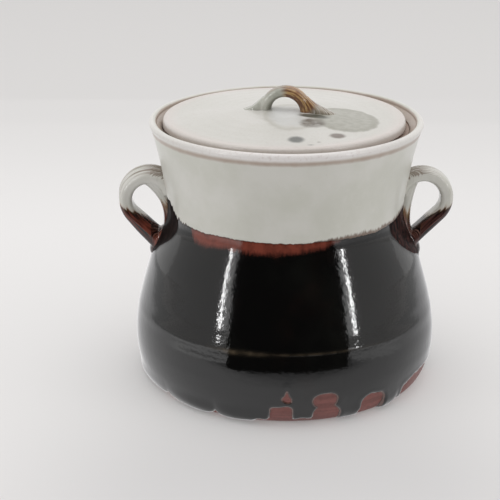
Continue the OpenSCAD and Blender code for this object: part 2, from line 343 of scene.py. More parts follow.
def shell(points, loop=False):
    """Vertices, quads and triangles over a grid of points. Columns close round the object, rows close into
    a loop where asked, and otherwise a fan to the middle of the first and the last row closes each end."""
    rows, columns = points.shape[:2]
    index = np.arange(rows * columns).reshape(rows, columns)
    low = index if loop else index[:-1]
    high = np.roll(index, -1, axis=0) if loop else index[1:]
    quads = np.stack([low, np.roll(low, -1, axis=1), np.roll(high, -1, axis=1), high], axis=-1)
    vertices = points.reshape(-1, 3)
    fans = np.empty((0, 3), dtype=int)
    if not loop:
        vertices = np.vstack([vertices, points[0].mean(axis=0), points[-1].mean(axis=0)])
        foot = np.full(columns, rows * columns)
        first, last = index[0], index[-1]
        fans = np.concatenate([np.stack([np.roll(first, -1), first, foot], axis=-1),
                               np.stack([last, np.roll(last, -1), foot + 1], axis=-1)])
    return vertices, quads.reshape(-1, 4), fans


def skin(name, points, loop=False):
    """A smooth mesh over a grid of points."""
    vertices, quads, fans = shell(points, loop)
    mesh = bpy.data.meshes.new(name)
    mesh.from_pydata(vertices.tolist(), [], quads.tolist() + fans.tolist())
    mesh.polygons.foreach_set("use_smooth", np.ones(len(mesh.polygons), dtype=bool))
    mesh.update()
    return mesh


def store(mesh, name, values):
    """Keeps one number for each vertex, for a material to read. Cap vertices repeat the last number."""
    flat = np.asarray(values, dtype=np.float32).reshape(-1)
    flat = np.pad(flat, (0, len(mesh.vertices) - len(flat)), mode="edge")
    mesh.attributes.new(name, "FLOAT", "POINT").data.foreach_set("value", flat)


def corners(mesh):
    """The vertices' places as an array."""
    places = np.empty(len(mesh.vertices) * 3, dtype=np.float32)
    mesh.vertices.foreach_get("co", places)
    return places.reshape(-1, 3).astype(float)


def place(name, mesh, material, body, nodes):
    """Puts a finished mesh in the scene as a piece that rides on a body and stands for CAD nodes."""
    piece = bpy.data.objects.new(name, mesh)
    bpy.context.scene.collection.objects.link(piece)
    mesh.materials.append(material)
    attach(piece, body)
    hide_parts(*nodes)


def worked(name, shells, smoothing):
    """One smooth skin round several closed shells, as a potter's fingers blend clay: the shells are
    remeshed together on a grid of voxels and then smoothed."""
    vertices = np.vstack([corner for corner, _, _ in shells])
    starts = np.cumsum([0] + [len(corner) for corner, _, _ in shells[:-1]])
    faces = []
    for start, (_, quads, fans) in zip(starts, shells):
        faces += (quads + start).tolist() + (fans + start).tolist()
    rough = bpy.data.meshes.new(name + "_rough")
    rough.from_pydata(vertices.tolist(), [], faces)
    holder = bpy.data.objects.new(name + "_rough", rough)
    bpy.context.scene.collection.objects.link(holder)
    remesh = holder.modifiers.new("clay", "REMESH")
    remesh.mode = "VOXEL"
    remesh.voxel_size = VOXEL
    remesh.use_smooth_shade = True
    soften = holder.modifiers.new("fingers", "SMOOTH")
    soften.iterations = smoothing
    soften.factor = 0.5
    depsgraph = bpy.context.evaluated_depsgraph_get()
    mesh = bpy.data.meshes.new_from_object(holder.evaluated_get(depsgraph))
    mesh.name = name
    bpy.data.objects.remove(holder)
    bpy.data.meshes.remove(rough)
    if not len(mesh.polygons):
        raise RuntimeError(f"{name}: the remeshed strap is empty")
    return mesh


def swept(path, out, across, thickness, width, twist, squareness, grooves):
    """The shell of a strap carried along a path: at each point the section is a superellipse of that
    thickness along out and that width along across, turned by twist. Two grooves, given by their distance
    apart, depth and spread, are cut into its outer side."""
    a = np.linspace(0, TURN, STRAP_COLUMNS, endpoint=False)[None, :]
    side = signed_power(np.cos(a), 2 / squareness) * width[:, None] / 2
    up = signed_power(np.sin(a), 2 / squareness) * thickness[:, None] / 2
    spacing, depth, spread = grooves
    cut = swell(side, spacing / 2, spread) + swell(side, -spacing / 2, spread)
    up = up - depth * cut * step(0, 0.6, np.sin(a))
    turn = twist[:, None]
    along_side = side * np.cos(turn) - up * np.sin(turn)
    along_up = side * np.sin(turn) + up * np.cos(turn)
    return shell(path[:, None] + along_side[..., None] * across + along_up[..., None] * out[:, None])


def spline(points, count):
    """Points evenly spaced along a smooth curve through the given ones: a Catmull-Rom cubic for each span."""
    p = np.asarray(points, dtype=float)
    p = np.vstack([2 * p[0] - p[1], p, 2 * p[-1] - p[-2]])
    t = np.linspace(0, len(points) - 1, 40 * len(points))
    i = np.minimum(t.astype(int), len(points) - 2)
    u = (t - i)[:, None]
    a, b, c, d = p[i], p[i + 1], p[i + 2], p[i + 3]
    curve = 0.5 * (2 * b + (c - a) * u + (2 * a - 5 * b + 4 * c - d) * u ** 2
                   + (3 * b - a - 3 * c + d) * u ** 3)
    run = run_length(curve)
    even = np.linspace(0, run[-1], count)
    return np.stack([np.interp(even, run, curve[:, k]) for k in range(curve.shape[1])], axis=-1)


def ball(middle, out, across, along, radii):
    """The shell of an ellipsoid with the given radii along three directions at right angles."""
    lift = np.linspace(-0.97, 0.97, 15)[:, None] * math.pi / 2
    a = azimuths(36)
    return shell(middle + radii[0] * (np.cos(lift) * np.cos(a))[..., None] * out
                 + radii[1] * (np.cos(lift) * np.sin(a))[..., None] * across
                 + radii[2] * (np.sin(lift) + 0 * a)[..., None] * along)


# Materials

class Signal:
    """A number that varies over a surface: a socket whose arithmetic adds Math nodes."""

    def __init__(self, finish, socket):
        self.finish = finish
        self.socket = socket

    def maths(self, operation, first, second=0.0):
        """A Math node on two numbers, each a signal or plain."""
        return self.finish.add("ShaderNodeMath", {"operation": operation}, {0: first, 1: second})

    def __add__(self, other):
        return self.maths("ADD", self, other)

    def __sub__(self, other):
        return self.maths("SUBTRACT", self, other)

    def __mul__(self, other):
        return self.maths("MULTIPLY", self, other)

    def __rsub__(self, other):
        return self.maths("SUBTRACT", other, self)

    __radd__ = __add__
    __rmul__ = __mul__

    def size(self):
        """The number without its sign."""
        return self.maths("ABSOLUTE", self)

    def step(self, low, high):
        """Smooth step: 0 at low and 1 at high."""
        return self.finish.add("ShaderNodeMapRange", {"interpolation_type": "SMOOTHSTEP"},
                               {"Value": self, "From Min": low, "From Max": high})

    def band(self, start, full, fading, end):
        """Smooth band: 0 at start, 1 from full to fading, and 0 again at end."""
        return self.step(start, full) * (1 - self.step(fading, end))


class Finish:
    """A material under construction: a Principled shader and the nodes that feed it."""

    def __init__(self, name):
        self.material = bpy.data.materials.new(name)
        self.material.use_nodes = True
        self.tree = self.material.node_tree
        self.shader = next(n for n in self.tree.nodes if n.type == "BSDF_PRINCIPLED")
        self.place = self.add("ShaderNodeTexCoord", {}, {}, "Object")

    @staticmethod
    def socket(node, key):
        """An input by its number, its name or its identifier."""
        if isinstance(key, int):
            return node.inputs[key]
        for entry in node.inputs:
            if entry.identifier == key or (entry.name == key and entry.enabled):
                return entry
        raise KeyError(f"{node.bl_idname} has no input {key}")

    def feed(self, socket, value):
        """Links a signal to a socket, or sets the socket's own value."""
        if isinstance(value, Signal):
            self.tree.links.new(value.socket, socket)
        elif hasattr(socket.default_value, "__len__") and len(socket.default_value) == 4:
            socket.default_value = tuple(value) + (1.0,)
        else:
            socket.default_value = value

    def add(self, kind, settings, sockets, output=0):
        """Adds a node of any type: its settings first, then its sockets' values or links."""
        node = self.tree.nodes.new(kind)
        for name, value in settings.items():
            setattr(node, name, value)
        for key, value in sockets.items():
            self.feed(self.socket(node, key), value)
        return Signal(self, node.outputs[output])

    def attribute(self, name):
        """A number kept on the mesh."""
        return self.add("ShaderNodeAttribute", {"attribute_name": name}, {}, "Fac")

    def axis(self, name):
        """The object coordinate X, Y or Z, in metres."""
        return self.add("ShaderNodeSeparateXYZ", {}, {"Vector": self.place}, name)

    def vector(self, x, y, z):
        """A vector from three numbers."""
        return self.add("ShaderNodeCombineXYZ", {}, {"X": x, "Y": y, "Z": z})

    def noise(self, scale, detail, roughness, vector=None):
        """Smooth noise from 0 to 1, about 0.5, with scale cells in each metre or unit of a vector. Three
        scales stretch it along the axes."""
        if isinstance(scale, tuple):
            vector = self.add("ShaderNodeVectorMath", {"operation": "MULTIPLY"}, {0: self.place, 1: scale})
            scale = 1.0
        return self.add("ShaderNodeTexNoise", {}, {"Vector": vector or self.place, "Scale": scale,
                                                   "Detail": detail, "Roughness": roughness})

    def mix(self, share, first, second):
        """A colour that goes from first to second as share goes from 0 to 1."""
        return self.add("ShaderNodeMix", {"data_type": "RGBA"},
                        {"Factor_Float": share, "A_Color": first, "B_Color": second}, 2)

    def layers(self, tone, *coats):
        """A colour with coats laid over it in turn, each a share from 0 to 1 and a colour."""
        for share, coat in coats:
            tone = self.mix(share, tone, coat)
        return tone

    def bumps(self, *reliefs):
        """A normal bent by reliefs in turn, each a height from 0 to 1, the metres that it stands for and a
        strength."""
        under = {}
        for height, distance, strength in reliefs:
            sockets = {"Height": height, "Distance": distance, "Strength": strength, **under}
            under = {"Normal": self.add("ShaderNodeBump", {}, sockets)}
        return under["Normal"]

    @staticmethod
    def label(name):
        """A shader input's name from a keyword such as base_color."""
        return name.replace("_", " ").title().replace("Ior", "IOR")

    def done(self, **inputs):
        """Feeds the shader, by names such as base_color, and returns the material."""
        for name, value in inputs.items():
            self.feed(self.socket(self.shader, self.label(name)), value)
        return self.material

    def overlay(self, share, **inputs):
        """Lays a second shader over the first where share is 1, and returns the material."""
        sockets = {self.label(name): value for name, value in inputs.items()}
        second = self.add("ShaderNodeBsdfPrincipled", {}, sockets)
        first = Signal(self, self.shader.outputs[0])
        both = self.add("ShaderNodeMixShader", {}, {0: share, 1: first, 2: second})
        output = next(n for n in self.tree.nodes if n.type == "OUTPUT_MATERIAL")
        self.tree.links.new(both.socket, output.inputs["Surface"])
        return self.material


# Tones of single marks, as linear red, green and blue
PALER_CLAY = (0.44, 0.385, 0.38)
LEDGE_WASH = (0.42, 0.325, 0.265)
OLIVE_BLACK = (0.0080, 0.0082, 0.0070)
RIDGE_BROWN = (0.105, 0.080, 0.052)
DRY_BLACK = (0.0065, 0.0038, 0.0035)
LEFT_VEIN = (0.022, 0.013, 0.012)
RIGHT_VEIN = (0.058, 0.021, 0.018)
# Painted highlight on the rim's crest, and the sand that mottles it
CREST_HIGHLIGHT = (0.80, 0.765, 0.755)
CREST_SAND = (0.56, 0.48, 0.455)
EDGE_DARK = (0.052, 0.022, 0.013)
EDGE_OCHRE = (0.140, 0.085, 0.056)
LID_GREY = (0.575, 0.550, 0.530)
LID_EDGE = (0.66, 0.560, 0.530)
LID_SAND = (0.47, 0.41, 0.375)
SPLASH_GREEN = (0.295, 0.288, 0.238)
SPLASH_EDGE = (0.24, 0.225, 0.175)
PATCH_WHITE = (0.63, 0.64, 0.63)
SMEAR_BROWN = (0.085, 0.062, 0.040)
GROOVE_BROWN = (0.18, 0.125, 0.090)
LEFT_RED = (0.240, 0.058, 0.036)
RIGHT_RED = (0.080, 0.029, 0.024)
HAIR_RED = (0.190, 0.058, 0.040)
# Pink streaks on the tails, partly painted highlights
TAIL_PINK_HIGHLIGHT = (0.270, 0.145, 0.118)
TAIL_OCHRE = (0.190, 0.095, 0.045)
LOOP_GREY = (0.38, 0.385, 0.335)
# Painted shade under the loop's arch
LOOP_UNDERSIDE_SHADE = (0.16, 0.155, 0.115)
LOOP_BROW = (0.20, 0.125, 0.065)
LOOP_TAIL_DARK = (0.115, 0.082, 0.048)
LOOP_TAIL_PALE = (0.60, 0.585, 0.545)
LOOP_OCHRE = (0.46, 0.29, 0.12)
LOOP_RUST = (0.130, 0.045, 0.014)
LOOP_BURNT = (0.17, 0.052, 0.016)
# Spots on the lid: field, raggedness, where the edge starts and ends in millimetres, strength and tone
LID_SPOTS = (
    ("olive", 0.4, -0.8, 1.4, 0.92, (0.060, 0.058, 0.040)),
    ("blue_spot", 0.5, -1.0, 2.4, 0.95, (0.105, 0.110, 0.102)),
    ("brown_spot", 0.5, -0.9, 2.2, 0.94, (0.135, 0.102, 0.078)),
)
GLAZE_IOR = 1.5
DARK_GLAZE_IOR = 1.52


def clay_finish(look):
    """Bare stoneware: warm clay with darker flecks, turning bands, fine lines and a dry grain, a little
    paler towards the right ear, and washed with the pale glaze on the ledge."""
    f = Finish("bare_stoneware")
    flecks = f.noise(420, 4, 0.6).step(0.46, 0.72)
    lines = f.noise((30, 30, 1100), 2, 0.5).step(0.42, 0.7)
    bands = f.noise((40, 40, 260), 2, 0.5).step(0.47, 0.64)
    scorch = f.noise(45, 3, 0.55).step(0.40, 0.75)
    # The clay turns a little paler towards the right ear
    right = f.axis("X").step(66 * MM, 88 * MM)
    wash = f.attribute("wash") * (0.75 + 0.2 * scorch)
    dark = look.clay_dark
    tone = f.layers(look.clay, (scorch * 0.45, dark), (bands * 0.45, dark), (flecks * 0.5, dark),
                    (lines * 0.35, dark), (right * 0.22, PALER_CLAY), (wash, LEDGE_WASH))
    relief = f.bumps((f.noise(1600, 3, 0.6), 0.12 * MM, 1.0), (lines, 0.1 * MM, 0.6))
    return f.done(base_color=tone, roughness=0.82 - 0.15 * scorch, normal=relief)


def dark_finish(look):
    """The dark glaze: near black and glossy, brown where it is thin, iron red under the pale glaze and dry
    brown on the clay smeared out beside the ears."""
    f = Finish("dark_iron_glaze")
    haze = f.noise(38, 4, 0.55)
    mottle = f.noise(150, 3, 0.6)
    fibres = f.noise((760, 760, 40), 3, 0.65)
    olive = f.noise(16, 4, 0.6).step(0.48, 0.72)
    rust_edge = f.attribute("rust") + (fibres - 0.5) * 3.6 * MM + (mottle - 0.5) * 1.5 * MM
    rust = rust_edge.step(-1.8 * MM, 3.0 * MM) * (0.66 + 0.42 * mottle.step(0.3, 0.65))
    thin = (f.attribute("thin") + (haze - 0.5) * 0.5).step(0.35, 0.95)
    lip = (f.attribute("lip") + (mottle - 0.5) * 0.8).step(0.45, 1.0)
    ridge = f.attribute("ridge") * (0.4 + 0.6 * mottle.step(0.35, 0.65))
    dry = (f.attribute("dry") + (fibres - 0.5) * 1.5 * MM).step(-0.3 * MM, 0.9 * MM)
    tone = f.layers(look.black, (olive * 0.6, OLIVE_BLACK), (haze.step(0.5, 0.95) * 0.12, look.brown),
                    (thin * 0.8, look.brown), (rust, look.rust), (lip * 0.4, look.blush),
                    (ridge, RIDGE_BROWN))
    relief = f.bumps((f.noise(75, 2, 0.5), 0.05 * MM, 1.0), (f.noise(330, 2, 0.55), 0.075 * MM, 1.0),
                     (f.noise(1000, 2, 0.6), 0.010 * MM, 1.0))
    f.done(base_color=tone, roughness=0.05 + 0.06 * haze, ior=DARK_GLAZE_IOR, normal=relief)
    vein = f.mix(f.axis("X").step(-20 * MM, 20 * MM), LEFT_VEIN, RIGHT_VEIN)
    streaked = f.mix(fibres.step(0.44, 0.62), DRY_BLACK, vein)
    return f.overlay(dry * 0.96, base_color=streaked, roughness=0.6, specular_ior_level=0.03)


def pale_finish(look, name):
    """The pale glaze: grey-green and milky by turns, tan where it thins over an edge and as painted shade,
    with iron specks.
    Returns the finish under construction, its tone and its fine noise."""
    f = Finish(name)
    clouds = f.noise(28, 4, 0.55)
    fine = f.noise(170, 3, 0.55)
    # The thin field holds thin glaze, and on the collar painted shade too
    edge = (f.attribute("thin") + (f.noise(120, 3, 0.6) - 0.5) * 0.55).step(0.30, 1.0)
    specks = f.noise(640, 1, 0.4).step(0.79, 0.84)
    tone = f.layers(look.pale, (clouds.step(0.35, 0.68) * 0.75, look.milk),
                    (fine.step(0.5, 0.75) * 0.25, look.milk), (edge * 0.8, look.tan),
                    (specks * 0.35, look.tan))
    return f, tone, fine


def collar_finish(look):
    """The pale glaze on the collar and rim, with a painted highlight on the rim's crest, strongest at
    the front, and brown along its lower edge.
    """
    f, tone, fine = pale_finish(look, "pale_collar_glaze")
    mottle = f.noise(520, 3, 0.6)
    # The bead field is a painted highlight on the rim's crest, strongest at the front
    crest = f.attribute("bead")
    ragged = f.noise((700, 700, 160), 3, 0.65)
    foot = (f.attribute("edge") + (ragged - 0.5) * 1.4).step(0.28, 0.85)
    shade = f.mix(f.attribute("ochre"), EDGE_DARK, EDGE_OCHRE)
    tone = f.layers(tone, (crest * 0.9, CREST_HIGHLIGHT), (crest * mottle.step(0.50, 0.70) * 0.4, CREST_SAND),
                    (foot * 0.92, shade))
    relief = f.bumps((f.noise(60, 2, 0.5), 0.12 * MM, 1.0), (mottle, 0.012 * MM, 1.0))
    return f.done(base_color=tone, roughness=0.28 + 0.12 * fine, ior=GLAZE_IOR, normal=relief)


def lid_finish(look):
    """The lid's pale glaze with its sandy grain, ash splash, white patch under the loop, smear and spots."""
    f, tone, fine = pale_finish(look, "pale_lid_glaze")
    sand = f.noise(620, 2, 0.6)
    rough = (f.noise(150, 4, 0.6) - 0.5) * 4.0 * MM
    mottle = f.noise(240, 3, 0.6).step(0.35, 0.7)
    splash, patch, smear = (f.attribute(name) + rough for name in ("splash", "milk", "smear"))
    tone = f.layers(
        tone, (0.45, LID_GREY), (f.attribute("thin") * 0.9, LID_EDGE),
        (sand.step(0.48, 0.70) * 0.22, LID_SAND),
        (splash.step(-0.8 * MM, 2.0 * MM) * (0.72 + 0.25 * mottle), SPLASH_GREEN),
        (splash.band(-0.6 * MM, 1.2 * MM, 1.4 * MM, 6.0 * MM) * 0.4, SPLASH_EDGE),
        # A white patch under the loop, with a grey-green ring round it
        (patch.band(-2.5 * MM, 0.0, 0.0, 4.0 * MM) * 0.35, look.ash),
        (patch.step(0.0, 6 * MM) * 0.6, PATCH_WHITE),
        (smear.step(-1.5 * MM, 3.0 * MM) * (0.65 + 0.35 * mottle) * 0.95, SMEAR_BROWN))
    for name, ragged, outer, inner, strength, shade in LID_SPOTS:
        spot = (f.attribute(name) + rough * ragged).step(outer * MM, inner * MM)
        tone = f.mix(spot * strength, tone, shade)
    relief = f.bumps((f.noise(60, 2, 0.5), 0.10 * MM, 1.0), (sand, 0.012 * MM, 1.0))
    return f.done(base_color=tone, roughness=0.26 + 0.12 * fine, ior=GLAZE_IOR, normal=relief)


def ear_finish(look):
    """The ears: pale glaze on the bow, breaking brown in the grooves, and dark glaze down the legs and
    tails, streaked red and tan, with pink streaks on the tails that are partly painted highlights."""
    f = Finish("ear_glazes")
    along, across, tail = (f.attribute(name) for name in ("along", "across", "tail"))
    streaks = f.noise(1.0, 3, 0.6, f.vector(along * 45, across * 620, 1.7))
    hairs = f.noise(1.0, 2, 0.6, f.vector(along * 40, across * 1500, 3.0))
    clouds = f.noise(60, 3, 0.55)
    groove = (f.attribute("groove") + (hairs - 0.5) * 1.6).step(0.36, 0.92)
    pale = f.layers(look.pale, (clouds.step(0.30, 0.62) * 0.95, look.milk),
                    (streaks.step(0.45, 0.75) * 0.2, look.ash), (groove * 0.8, GROOVE_BROWN))
    red = f.mix(f.axis("X").step(-20 * MM, 20 * MM), LEFT_RED, RIGHT_RED)
    down = f.attribute("down") + (streaks - 0.5) * 8 * MM + (hairs - 0.5) * (5 * MM + 16 * MM * tail)
    core = (across + 7.0 * MM).size().step(3.4 * MM, 1.2 * MM) * down.step(1.0 * MM, 8.0 * MM)
    dark = f.layers(look.black, (streaks.step(0.38, 0.62) * (0.22 + 0.72 * core), red),
                    (hairs.step(0.50, 0.70) * (0.15 + 0.40 * core), HAIR_RED),
                    # Pink streaks of the glaze on the tails, partly painted highlights
                    (tail * hairs.step(0.50, 0.64) * 0.8, TAIL_PINK_HIGHLIGHT),
                    (tail * streaks.step(0.55, 0.70) * 0.6, TAIL_OCHRE))
    melt = down.band(-2.5 * MM, -0.2 * MM, 0.0, 2.5 * MM + 5.0 * MM * tail)
    tone = f.layers(pale, (down.step(-0.8 * MM, 1.0 * MM), dark), (melt * (0.25 + 0.3 * tail), look.ochre))
    relief = f.bumps((f.noise(90, 2, 0.5), 0.10 * MM, 1.0), (streaks * 0.6 + hairs * 0.4, 0.16 * MM, 0.8))
    return f.done(base_color=tone, roughness=0.10 + 0.12 * clouds, ior=GLAZE_IOR, normal=relief)


def loop_finish(look):
    """The loop: grey-green on one leg, with painted shade under the arch, streaked ochre and rust on the
    other.
    """
    f = Finish("loop_glazes")
    along, across, tail = (f.attribute(name) for name in ("along", "across", "tail"))
    streaks = f.noise(1.0, 3, 0.65, f.vector(along * 60, across * 700, 0.0))
    clouds = f.noise(110, 3, 0.6)
    brow = (f.attribute("brow") + (clouds - 0.5) * 1.2).step(0.3, 1.0)
    pale = f.layers(
        LOOP_GREY, (clouds.step(0.35, 0.7) * 0.8, look.pale), (streaks.step(0.56, 0.72) * 0.5, look.milk),
        # Painted shade on the arch's underside
        (f.attribute("under") * 0.75, LOOP_UNDERSIDE_SHADE), (brow * 0.6, LOOP_BROW),
        (tail * (1 - streaks.step(0.38, 0.50)) * 0.85, LOOP_TAIL_DARK),
        (tail * streaks.step(0.52, 0.62) * 0.8, LOOP_TAIL_PALE))
    warm = f.layers(LOOP_OCHRE, (streaks.step(0.43, 0.57), LOOP_RUST),
                    (clouds.step(0.48, 0.70) * 0.7, LOOP_BURNT))
    share = (f.attribute("warm") + (streaks - 0.5) * 9 * MM + (clouds - 0.5) * 6 * MM).step(-3 * MM, 2.5 * MM)
    return f.done(base_color=f.mix(share * 0.95, pale, warm), roughness=0.10 + 0.14 * clouds, ior=GLAZE_IOR,
                  normal=f.bumps((streaks, 0.2 * MM, 0.8)))


def liner_finish(look):
    """The glaze inside the jar: the pale glaze, a little darker where it pools on the floor."""
    f, tone, fine = pale_finish(look, "pale_liner_glaze")
    pool = 1 - f.axis("Z").step(10 * MM, 45 * MM)
    return f.done(base_color=f.mix(pool * 0.5, tone, look.ash), roughness=0.16 + 0.1 * fine, ior=GLAZE_IOR,
                  normal=f.bumps((f.noise(60, 2, 0.5), 0.12 * MM, 1.0)))


# Where the glazes end and the ears stand. Plain heights and widths are in millimetres, azimuths in degrees.

# Heights of the pale glaze's lower edge, and depths of the rust band under it, round the jar
LINE_AZIMUTHS = (-180, -118, -105, -90, -74, -67, -61, -45, -30, -17, 5, 17, 30, 45, 60, 68, 77, 90, 105, 118,
                 180)
LINE_HEIGHTS = (108.2, 108, 112, 117, 116, 111, 108.3, 107.4, 107.9, 107.5, 107.2, 107.9, 107.5, 106.9,
                108.0, 109.3, 111, 113, 110, 107.5, 108.2)
RUST_AZIMUTHS = (-180, -56, -52, -50.5, -48, -38, -30, -6, 5, 17, 23, 28, 110, 118, 140, 165, 175, 180)
RUST_DEPTHS = (-6, -6, -2, 4.5, 7.6, 7.2, 6.4, 6.8, 5.2, 3.6, 1, -3, -6, 2, 6, 4, -3, -6)
# Bare marks: azimuth, height of the middle, half width, half height, and how square the mark is
BARE_MARKS = (
    (-2.4, 4.6, 7.0, 8.0, 7.0), (-8.5, 1.0, 7.0, 2.4, 2.0), (5.5, 1.0, 10.0, 3.2, 2.0),
    (-0.6, 18.4, 2.4, 1.7, 2.0), (-0.4, 20.2, 0.7, 1.5, 2.0), (0.4, 17.2, 1.2, 0.9, 2.0),
    (14.0, 16.2, 7.2, 4.6, 2.3), (14.9, 4.6, 8.4, 8.0, 2.4),
    (34.0, 9.0, 8.2, 5.6, 2.4), (33.0, 2.6, 8.6, 5.4, 2.2),
    (67.0, 5.2, 27.0, 9.4, 2.6),
    (118.0, 4.0, 7.0, 7.0, 2.6), (152.0, 3.0, 7.5, 8.0, 3.5), (-154.0, 5.0, 9.0, 10.0, 2.6),
    (-149.0, 19.0, 2.4, 2.6, 2.0), (-109.0, 4.0, 7.0, 8.0, 2.4),
)
# Inner faces of the ears' tails: distance from the axis and height
RIGHT_TAIL = ((84.5, 127.0), (82.0, 121.5), (80.4, 115.0), (79.2, 108.0), (78.6, 101.0), (79.2, 94.0),
              (81.5, 87.0))
LEFT_TAIL = ((94.0, 118.9), (91.2, 121.7), (88.7, 122.0), (86.3, 120.6), (83.9, 118.1), (81.4, 114.9),
             (78.2, 109.5), (76.4, 102.0), (76.8, 94.0), (79.5, 87.0))
# Height of the pale glaze's end on each tail, from the bow's middle
RIGHT_TAIL_LINE = -8.5 * MM
LEFT_TAIL_LINE = -2.5 * MM
# Angle round the bow at which the ears' straps start, the length of their legs, the wall's lean under them
# in radians, and the pads that spread their feet: distance from the axis and height, and radii
EAR_ROOT = math.radians(165)
LEG_LENGTH = 33 * MM
WALL_LEAN = 0.34
EAR_PADS = (((78.6, 84.5), (4.6, 9.5, 10.5)), ((81.8, 81.4), (3.2, 6.6, 6.5)))
# Azimuths of the cusps between the glaze's runs, and the radius for widths measured round the heel
CUSPS = (-132.0, -86.0, -53.0, -28.4, 47.6, 100.0, 134.0, 176.0)
HEEL_RADIUS = 91 * MM
# Width of the clay smeared out in front of each ear, in degrees, at each height, and the radius that turns
# it into a distance
SMEAR_HEIGHTS = (74, 78, 82, 86, 91, 96, 101, 109, 120)
RIGHT_SMEAR = (-4, 6, 14, 19, 24, 27, 31, 34, 34)
LEFT_SMEAR = (-6, 2, 9, 13, 18, 23.5, 26.5, 26.6, 24)
SMEAR_RADIUS = 78 * MM
# Marks on the lid: for each oval its middle, half sizes and lean in degrees
LID_MARKS = {
    "splash": [((35.6, -14.8), (20.0, 25.5), 4)],
    # A white patch under the loop
    "milk": [((2.0, -13.0), (15, 25), 0)],
    "smear": [((15.3, -26.0), (8.2, 9.0), 0)],
    "olive": [((16.0, -13.0), (10.0, 3.8), -12)],
    "blue_spot": [((4.4, -55.5), (5.2, 6.0), 0), ((12.5, -65.0), (1.6, 1.2), 0)],
    "brown_spot": [((28.7, -48.0), (5.2, 5.0), 0), ((17.4, -60.0), (1.1, 1.3), 0)],
}


def glaze_line(angle):
    """Height of the pale glaze's lower edge: a slow rise and fall with a fine ragged edge, most ragged
    beside the left ear."""
    base = np.interp(np.degrees(angle), LINE_AZIMUTHS, LINE_HEIGHTS) * MM
    teeth = 0.10 * MM + 0.85 * MM * swell(angle, math.radians(-63), 0.14)
    return base + 0.10 * MM * ripple(angle, 0.0, 11, 50, 0) + teeth * ripple(angle, 0.0, 12, 190, 0, 30)


def rust_field(angle, z):
    """How far inside the rust band a point lies: a soft least distance to its upper, lower and left edge."""
    depth = np.interp(np.degrees(angle), RUST_AZIMUTHS, RUST_DEPTHS) * MM
    below = glaze_line(angle) - z
    end = apart(angle, math.radians(-52)) * 75 * MM
    end = np.where(angle > math.radians(100), 20 * MM, end)
    soft = 0.8 * MM
    sides = np.stack([below + 1.2 * MM, depth - below, np.clip(end, -20 * MM, 20 * MM) + 0 * z])
    return -soft * np.log(np.exp(-sides / soft).sum(axis=0))


def ear_smear(angle, z):
    """How far inside the clay smeared out beside an ear a point lies: its width, as an angle from the ear's
    middle, narrows towards the leg's foot and is less behind the ear."""
    right, left = (np.interp(z / MM, SMEAR_HEIGHTS, widths) for widths in (RIGHT_SMEAR, LEFT_SMEAR))
    away = np.abs(np.degrees(angle)) - 90
    half = np.where(angle > 0, right, left) * np.where(away > 0, 0.65, 1.0)
    half = half + 0.5 * ripple(angle, z, 71, 30, 300)
    return np.radians(half - np.abs(away)) * SMEAR_RADIUS


def round_heel(angle, azimuth):
    """Distance round the heel from an azimuth in degrees."""
    return np.abs(apart(angle, math.radians(azimuth))) * HEEL_RADIUS


def bare_field(angle, z):
    """Signed distance from the dark glaze's edge, above 0 where the clay is glazed: a soft minimum over
    the distances to each bare mark and to the lower edge with its cusps between the runs."""
    soft = 0.5 * MM
    edge = 0.55 * MM + 0.2 * MM * ripple(angle, 0.0, 21, 9, 0)
    for azimuth in CUSPS:
        edge = edge + 4.5 * MM * np.exp(-round_heel(angle, azimuth) / (2.8 * MM))
    total = np.exp(-(z - edge) / soft)
    wobble = 0.22 * MM * ripple(angle, z, 22, 90, 500, 24)
    for azimuth, height, half_width, half_height, square in BARE_MARKS:
        u = round_heel(angle, azimuth) / (half_width * MM)
        v = np.abs(z - height * MM) / (half_height * MM)
        far = ((u ** square + v ** square) ** (1 / square) - 1) * min(half_width, half_height) * MM
        total = total + np.exp(-np.clip(far + wobble, -12 * MM, 60 * MM) / soft)
    return -soft * np.log(total)


def run_share(angle):
    """How thick the glaze has run at the foot, from 0 at a cusp to 1 in the middle of a run."""
    share = 0.75 + 0.25 * ripple(angle, 0.0, 31, 5, 0)
    for azimuth in CUSPS:
        share = share * (1 - 0.9 * np.exp(-round_heel(angle, azimuth) / (7 * MM)))
    return np.clip(share, 0, 1)


# Pieces

